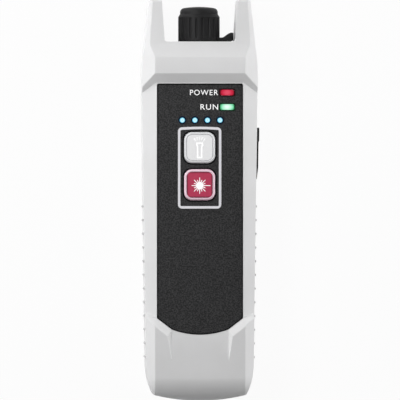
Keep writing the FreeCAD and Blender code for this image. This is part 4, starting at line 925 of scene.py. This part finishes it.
def joined(name, solids, material):
    """Several editable forms or objects as one piece."""
    whole = bmesh.new()
    for part in solids:
        if isinstance(part, bpy.types.Object):
            whole.from_mesh(part.data)
            bpy.data.objects.remove(part)
        else:
            mesh = bpy.data.meshes.new("joining")
            part.to_mesh(mesh)
            part.free()
            whole.from_mesh(mesh)
            bpy.data.meshes.remove(mesh)
    bmesh.ops.recalc_face_normals(whole, faces=whole.faces)
    return settle(whole, name, [material], sharp=40)


burst_x, burst_y = field_middle.x, field_middle.y - BURST_DROP
burst = {
    "Middle X": burst_x,
    "Middle Y": burst_y,
    "Level": field_high.z,
    "Thickness": SIGN_THICKNESS,
    "Inner": BURST_DISC * 0.8,
    "Root Width": 0.36 * MM,
    "Tip Width": 0.28 * MM,
}
step = math.pi / 4
right = -math.pi / 2
fans = [
    {"Count": 7, "First Turn": right + step, "Step": step, "Outer": LONG_RAY},
    {"Count": 8, "First Turn": right + step / 2, "Step": step, "Outer": SHORT_RAY},
    {"Count": 1, "First Turn": right, "Outer": RIGHT_RAY},
]
rays = [grown("rays", fan, burst | sizes) for sizes in fans]
turns = [2 * math.pi * i / DISC_CORNERS for i in range(DISC_CORNERS)]
disc_rim = [(burst_x + BURST_DISC * math.cos(t), burst_y + BURST_DISC * math.sin(t)) for t in turns]
disc = plate(disc_rim, field_high.z, DISC_THICKNESS)
sunburst = joined("sunburst_sign", [*rays, disc], sign_ink_and_glow)
carried(sunburst, "laser_key")
print("sunburst with", len(sunburst.data.polygons), "faces")

# %% Torch of the upper key
LAMP_HALF = 1.46 * MM
HANDLE_HALF = 1.12 * MM
LAMP_TOP = 2.05 * MM
LAMP_FOOT = 0.85 * MM
HANDLE_TOP = 0.2 * MM
HANDLE_FOOT = -4.4 * MM
SIGN_STROKE = 0.58 * MM
BEAM_RISE = 0.75 * MM
torch_low, torch_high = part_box("torch_key")
torch_middle = (torch_low + torch_high) / 2


def ring_plate(points, stroke, level, thickness):
    """The outline of a plate, as a stroke inside its edge."""
    solid = plate(points, level, thickness)
    lids = [f for f in solid.faces if abs(f.normal.z) > FACING_UP]
    bmesh.ops.inset_individual(solid, faces=lids, thickness=stroke, use_even_offset=True)
    bmesh.ops.bridge_loops(solid, edges=[e for f in lids for e in f.edges])
    bmesh.ops.delete(solid, geom=lids, context="FACES_ONLY")
    bmesh.ops.recalc_face_normals(solid, faces=solid.faces)
    return solid


half_outline = [
    (LAMP_HALF, LAMP_TOP),
    (LAMP_HALF, LAMP_FOOT),
    (HANDLE_HALF, HANDLE_TOP),
    (HANDLE_HALF, HANDLE_FOOT),
]
both_sides = half_outline + [(-x, y) for x, y in reversed(half_outline)]
torch_outline = [(torch_middle.x + x, torch_middle.y + y) for x, y in reversed(both_sides)]
lamp_body = ring_plate(torch_outline, SIGN_STROKE, torch_high.z, SIGN_THICKNESS)
beam = {
    "Count": 5,
    "Middle X": torch_middle.x,
    "Middle Y": torch_middle.y + BEAM_RISE,
    "Level": torch_high.z,
    "First Turn": math.radians(-38),
    "Step": math.radians(19),
    "Inner": 2.3 * MM,
    "Outer": 3.75 * MM,
    "Root Width": 0.3 * MM,
    "Tip Width": 0.44 * MM,
    "Thickness": SIGN_THICKNESS,
}
torch_sign = joined("torch_sign", [lamp_body, grown("beam", fan, beam)], sign_ink_and_glow)
carried(torch_sign, "torch_key")
print("torch sign with", len(torch_sign.data.polygons), "faces")

# %% [markdown]
# ## Captions beside the windows
# Two short words are printed beside the two long windows. A picture of them would blur close by, so a text
# object is typed, made a mesh, squeezed to its measured width and only then moved to its place, because a
# finished piece keeps its place in its mesh.

# %% Print the captions
CAPTION_HEIGHT = 2.2 * MM
CAPTION_GAP = 0.9 * MM
CAPTION_BOLD = 0.004
CAPTION_SPACING = 1.16
CAPTION_THICKNESS = 0.04 * MM
POWER_WIDTH = 11.5 * MM
RUN_WIDTH = 7.2 * MM


def caption(words, width, window):
    """A printed word, this wide, on the left of a window."""
    low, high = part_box(window)
    curve = bpy.data.curves.new(words, "FONT")
    curve.body = words
    curve.size = 1
    curve.offset = CAPTION_BOLD
    curve.space_character = CAPTION_SPACING
    curve.extrude = 0.01
    typed = bpy.data.objects.new(words, curve)
    bpy.context.scene.collection.objects.link(typed)
    evaluated = typed.evaluated_get(bpy.context.evaluated_depsgraph_get())
    mesh = bpy.data.meshes.new_from_object(evaluated)
    bpy.data.objects.remove(typed)
    corners = [vert.co for vert in mesh.vertices]
    lows = Vector(min(c[i] for c in corners) for i in range(3))
    highs = Vector(max(c[i] for c in corners) for i in range(3))
    sizes = highs - lows
    squeeze = Matrix.Diagonal((width / sizes.x, CAPTION_HEIGHT / sizes.y, CAPTION_THICKNESS / sizes.z, 1))
    place = Vector((low.x - CAPTION_GAP - width, (low.y + high.y - CAPTION_HEIGHT) / 2, label_level))
    mesh.transform(Matrix.Translation(place) @ squeeze @ Matrix.Translation(-lows))
    solid = bmesh.new()
    solid.from_mesh(mesh)
    bmesh.ops.remove_doubles(solid, verts=solid.verts, dist=MERGE)
    piece = settle(solid, "caption_" + words.lower(), [sign_ink_and_glow], sharp=30)
    return carried(piece, "casing")


captions = [caption("POWER", POWER_WIDTH, "red_window"), caption("RUN", RUN_WIDTH, "green_window")]
print("captions with", sum(len(c.data.polygons) for c in captions), "faces")

# %% [markdown]
# ## The rubber cap
# The cap over the port is one rubber moulding: a drum with twenty flutes, a stepped and rounded crown, and
# a tab at its foot to pull it off. The drum follows a rule, so Geometry Nodes turn it: a polyline gives
# radius and height, each corner is rounded by its own radius, and a grid is wrapped round the axis. The
# flutes are pressed in by the angle, with smooth sides and rounded ends. Twenty cutters could carve them
# too, but a pressed grid stays clean and lets the number, width and depth of the flutes be set by name.

# %% Profile of the drum
cap_low, cap_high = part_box("dust_cap")
port_z = (cap_low.z + cap_high.z) / 2
CAP_RADIUS = (cap_high.z - cap_low.z) / 2
CAP_HEIGHT = cap_high.y - cap_low.y
BORE_RADIUS = 4.15 * MM
BORE_TOP = 11.0 * MM
BORE_FOOT = 3.2 * MM
FUNNEL_RADIUS = 5.3 * MM
NUT_ROOM_RADIUS = 6.6 * MM
NUT_ROOM_TOP = 2.2 * MM
CROWN_RADIUS = CAP_RADIUS - 0.75 * MM
CROWN_DOME = 0.75 * MM
CROWN_EDGE = CAP_HEIGHT - CROWN_DOME
DOME_SHARES = (0.68, 0.5, 0.34, 0.17, 0)
SHOULDER_TOP = CAP_HEIGHT - 3.0 * MM
SHOULDER_FOOT = CAP_HEIGHT - 4.2 * MM
FLUTE_FOOT = 1.4 * MM
FLUTE_TOP = SHOULDER_FOOT - 0.3 * MM
FLUTE_END = 0.6 * MM
FLUTE_STEPS = 4


def flute_heights():
    """Heights that need a ring of points, because a flute starts or ends there."""
    steps = [FLUTE_END * i / FLUTE_STEPS for i in range(FLUTE_STEPS + 1)]
    return [FLUTE_FOOT + step for step in steps] + [FLUTE_TOP - step for step in reversed(steps)]


# Radius, height and rounding of each corner, from the middle of the bore to the middle of the dome.
profile = [
    (0, BORE_TOP, 0),
    (BORE_RADIUS, BORE_TOP, 0.3 * MM),
    (BORE_RADIUS, BORE_FOOT, 0.2 * MM),
    (FUNNEL_RADIUS, NUT_ROOM_TOP, 0.1 * MM),
    (NUT_ROOM_RADIUS, NUT_ROOM_TOP, 0.2 * MM),
    (NUT_ROOM_RADIUS, 0, 0.25 * MM),
    (CAP_RADIUS, 0, 0.3 * MM),
]
profile += [(CAP_RADIUS, height, 0) for height in flute_heights()]
profile += [
    (CAP_RADIUS, SHOULDER_FOOT, 0.4 * MM),
    (CROWN_RADIUS, SHOULDER_TOP, 0.5 * MM),
    (CROWN_RADIUS, CROWN_EDGE, 1.75 * MM),
]
for share in DOME_SHARES:
    profile.append((CROWN_RADIUS * share, CROWN_EDGE + CROWN_DOME * (1 - share * share), 0))
places = [(radius, cap_low.y + height, 0) for radius, height, _ in profile]
runs = [(i, i + 1) for i in range(len(profile) - 1)]
cap_line = bpy.data.meshes.new("cap_line")
cap_line.from_pydata(places, runs, [])
corners = cap_line.attributes.new("corner", "FLOAT", "POINT")
corners.data.foreach_set("value", [corner for _, _, corner in profile])
print("cap profile with", len(profile), "points")

# %% Turn the drum and press the flutes
DRUM_SKIN = 0.1 * MM


def fluted_drum(material):
    """The rule of the drum: a rounded profile, wrapped round the axis, with flutes pressed into it."""
    sizes = {
        "Axis Height": 0.0,
        "Foot": 0.0,
        "Top": 0.0,
        "End": 0.0,
        "Flutes": 20,
        "Depth": 0.4 * MM,
        "Width": 1.0 * MM,
        "Floor": 0.2 * MM,
        "Radius": 8.0 * MM,
        "Around": 320,
    }
    tree, size = geometry_tree("fluted_drum", sizes)
    line = Wire.add(tree, "GeometryNodeMeshToCurve", None, {"Mesh": size["Start"]})
    corner = Wire.add(tree, "GeometryNodeInputNamedAttribute", {"data_type": "FLOAT"}, {"Name": "corner"})
    rounding = {"Curve": line, "Radius": corner, "Count": 5, "Limit Radius": True}
    rounded = Wire.add(tree, "GeometryNodeFilletCurve", {"mode": "POLY"}, rounding)
    points = Wire.add(tree, "GeometryNodeCurveToPoints", {"mode": "EVALUATED"}, {"Curve": rounded})
    cloud = {"component": "POINTCLOUD"}
    rows = Wire.add(tree, "GeometryNodeAttributeDomainSize", cloud, {"Geometry": points})
    flat = {"Size X": 1.0, "Size Y": 1.0, "Vertices X": size["Around"] + 1, "Vertices Y": rows}
    grid = Wire.add(tree, "GeometryNodeMeshGrid", None, flat)
    place = Wire.add(tree, "GeometryNodeInputPosition")
    grid_x, grid_y, _ = place.parts()
    share = grid_x + 0.5
    row = ((grid_y + 0.5) * (rows - 1)).calculate("ROUND")
    lookup = {"Geometry": points, "Value": place, "Index": row}
    found = Wire.add(tree, "GeometryNodeSampleIndex", {"data_type": "FLOAT_VECTOR"}, lookup)
    radius, height, _ = found.parts()
    off_middle = abs((share * size["Flutes"]).calculate("FRACT") - 0.5)
    beside = off_middle * (2 * math.pi) * radius / size["Flutes"]
    across = 1 - beside.rise(size["Floor"] / 2, size["Width"] / 2)
    lower = height.rise(size["Foot"], size["Foot"] + size["End"])
    upper = 1 - height.rise(size["Top"] - size["End"], size["Top"])
    outer = radius.rise(size["Radius"] - DRUM_SKIN, size["Radius"] - DRUM_SKIN / 2)
    pressed = radius - size["Depth"] * across * lower * upper * outer
    turn = share * (2 * math.pi)
    sideways = pressed * turn.calculate("SINE")
    upwards = size["Axis Height"] + pressed * turn.calculate("COSINE")
    wrapped = spot(tree, sideways, height, upwards)
    drum = Wire.add(tree, "GeometryNodeSetPosition", None, {"Geometry": grid, "Position": wrapped})
    whole = Wire.add(tree, "GeometryNodeMergeByDistance", None, {"Geometry": drum, "Distance": MERGE})
    close_tree(tree, whole, material)
    return tree


drum_sizes = {
    "Axis Height": port_z,
    "Foot": cap_low.y + FLUTE_FOOT,
    "Top": cap_low.y + FLUTE_TOP,
    "End": FLUTE_END,
    "Radius": CAP_RADIUS,
    "Width": 1.15 * MM,
    "Depth": 0.45 * MM,
}
drum = grown("drum", fluted_drum(rubber), drum_sizes, cap_line)
print("drum with", len(drum.data.polygons), "faces")

# %% [markdown]
# ## The pull tab
# The tab is a tongue of the same rubber, which grows out of the drum's foot and thickens towards its tip, so
# that a nail can catch it. Its side view follows two short formulas, so it is drawn as one outline, made a
# thick plate and rounded, first at the corners of its tip and then along every sharp edge. Drum and tab
# become one piece, because the real cap is one moulding.

# %% Pull tab, and the cap as one piece
TAB_REACH = cap_high.x
TAB_HALF = 3.5 * MM
TAB_ROOT = 7.0 * MM
TAB_THICK = 1.8 * MM
TAB_END = 3.8 * MM
TAB_RISE_FROM = 9.2 * MM
TAB_RISE_TO = 13.1 * MM
TAB_HEEL = 11.8 * MM
TAB_TOE = 0.65 * MM
TAB_STEPS = 20
TAB_TIP_ROUNDING = 1.2 * MM
TAB_EDGE_ROUNDING = 0.35 * MM
TAB_EDGE_ANGLE = math.radians(40)


def smooth(share):
    """A share from 0 to 1 that starts and ends gently."""
    share = min(max(share, 0), 1)
    return share * share * (3 - 2 * share)


def tab_top(x):
    """Upper side of the tab, which rises towards its tip."""
    return TAB_THICK + (TAB_END - TAB_THICK) * smooth((x - TAB_RISE_FROM) / (TAB_RISE_TO - TAB_RISE_FROM))


def tab_foot(x):
    """Lower side of the tab, which lifts off near its tip."""
    return TAB_TOE * max(0, (x - TAB_HEEL) / (TAB_REACH - TAB_HEEL)) ** 1.5


columns = [TAB_ROOT + (TAB_REACH - TAB_ROOT) * i / TAB_STEPS for i in range(TAB_STEPS + 1)]
tab_outline = [(x, cap_low.y + tab_foot(x)) for x in columns]
tab_outline += [(x, cap_low.y + tab_top(x)) for x in reversed(columns)]
tab = plate(tab_outline, port_z - TAB_HALF, 2 * TAB_HALF)
tips = [e for e in tab.edges if all(abs(v.co.x - TAB_REACH) < MERGE for v in e.verts)]
tip_corners = [e for e in tips if abs(e.verts[0].co.z - e.verts[1].co.z) < MERGE]
round_edges(tab, tip_corners, TAB_TIP_ROUNDING, segments=5)
tab.normal_update()
sharp_edges = [e for e in tab.edges if e.calc_face_angle(0) > TAB_EDGE_ANGLE]
round_edges(tab, sharp_edges, TAB_EDGE_ROUNDING)
cap = joined("rubber_cap", [drum, tab], rubber)
carried(cap, "dust_cap")
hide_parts("dust_cap")
print("cap with", len(cap.data.polygons), "faces")

# %% [markdown]
# ## Floor, light and camera
# The tester lies on its back, and the camera looks straight down on it through a long lens, a little from
# the left, as in the photograph. The background there is white, so the floor shows white to the camera and
# keeps only a trace of the shadow. One soft box high on the left gives the main light. Two low ones graze the
# bevels and the sloping strips from both sides. Beyond the prongs, a low one on the left reaches the inner
# side of the right prong, and a higher one on the right lights the collar. The foot stays darker.

# %% Camera
FRAME_WIDTH = 163.2 * MM
LENS = 600
SENSOR = 36
YAW = math.radians(2.0)
aim = Vector((0.0, 0.0, face_level))
distance = FRAME_WIDTH * LENS / SENSOR
eye = aim + distance * Vector((-math.sin(YAW), 0, math.cos(YAW)))
camera = bpy.data.objects.new("camera", bpy.data.cameras.new("camera"))
camera.data.lens = LENS
camera.data.sensor_width = SENSOR
camera.data.clip_end = 20
camera.location = eye
camera.rotation_euler = (0, -YAW, 0)
bpy.context.scene.collection.objects.link(camera)
bpy.context.scene.camera = camera
print("camera", round(distance, 3), "m above the face")

# %% Floor and world
WHITE_SHARE = 0.94
PAPER_GREY = 0.8
PAPER_ROUGHNESS = 0.9
FLOOR_HALF = 3
FLOOR_DROP = 0.02 * MM
WORLD_STRENGTH = 0.08


def seen_white(tree, lit_shader, share):
    """Mixes white into what the camera, mirrors and clear parts see."""
    rays = ("Is Camera Ray", "Is Glossy Ray", "Is Transmission Ray")
    direct, mirrored, clear = (Wire.add(tree, "ShaderNodeLightPath", output=ray) for ray in rays)
    seen = direct.higher(mirrored).higher(clear)
    white = Wire.add(tree, "ShaderNodeEmission", None, {"Color": (1, 1, 1, 1), "Strength": 1.0})
    return Wire.add(tree, "ShaderNodeMixShader", None, {0: seen * share, 1: lit_shader, 2: white})


paper = bpy.data.materials.new("paper")
paper.use_nodes = True
paper_shader = paper.node_tree.nodes["Principled BSDF"]
paper_shader.inputs["Base Color"].default_value = (PAPER_GREY, PAPER_GREY, PAPER_GREY, 1)
paper_shader.inputs["Roughness"].default_value = PAPER_ROUGHNESS
paper_mix = seen_white(paper.node_tree, Wire(paper_shader.outputs[0]), WHITE_SHARE)
paper.node_tree.links.new(paper_mix.socket, paper.node_tree.nodes["Material Output"].inputs[0])
floor_mesh = bpy.data.meshes.new("floor")
floor_solid = bmesh.new()
bmesh.ops.create_grid(floor_solid, x_segments=2, y_segments=2, size=FLOOR_HALF)
floor_solid.to_mesh(floor_mesh)
floor_solid.free()
floor_mesh.transform(Matrix.Translation((0, 0, -FLOOR_DROP)))
floor_mesh.materials.append(paper)
floor = bpy.data.objects.new("floor", floor_mesh)
bpy.context.scene.collection.objects.link(floor)

world = bpy.data.worlds.new("studio")
bpy.context.scene.world = world
world.use_nodes = True
sky = world.node_tree.nodes["Background"]
sky.inputs["Color"].default_value = (1, 1, 1, 1)
sky.inputs["Strength"].default_value = WORLD_STRENGTH
bpy.context.scene.view_settings.view_transform = "Standard"
print("floor and world are white")

# %% Soft boxes
LIT_PLACE = Vector((0, 0, 0.02))
SOFT_BOXES = {
    "left_high": {"place": (-0.26, 0.1, 0.47), "width": 0.6, "height": 0.2, "power": 1.9},
    "left_low": {"place": (-0.4, 0.05, 0.05), "width": 0.5, "height": 0.06, "power": 0.36},
    "right_low": {"place": (0.4, 0.05, 0.05), "width": 0.5, "height": 0.06, "power": 1.12},
    "left_far": {"place": (-0.3, 0.32, 0.1), "width": 0.4, "height": 0.1, "power": 0.66},
    "right_far": {"place": (0.34, 0.28, 0.28), "width": 0.4, "height": 0.2, "power": 0.5},
}


def soft_box(name, place, width, height, power):
    """A rectangular lamp that looks at the middle of the tester, sizes in metres and power in watts."""
    light = bpy.data.lights.new(name, "AREA")
    light.shape = "RECTANGLE"
    light.size = width
    light.size_y = height
    light.energy = power
    lamp = bpy.data.objects.new(name, light)
    lamp.location = place
    lamp.rotation_euler = (LIT_PLACE - Vector(place)).to_track_quat("-Z", "Y").to_euler()
    bpy.context.scene.collection.objects.link(lamp)


for name, box in SOFT_BOXES.items():
    soft_box(name, **box)
print(len(SOFT_BOXES), "soft boxes")
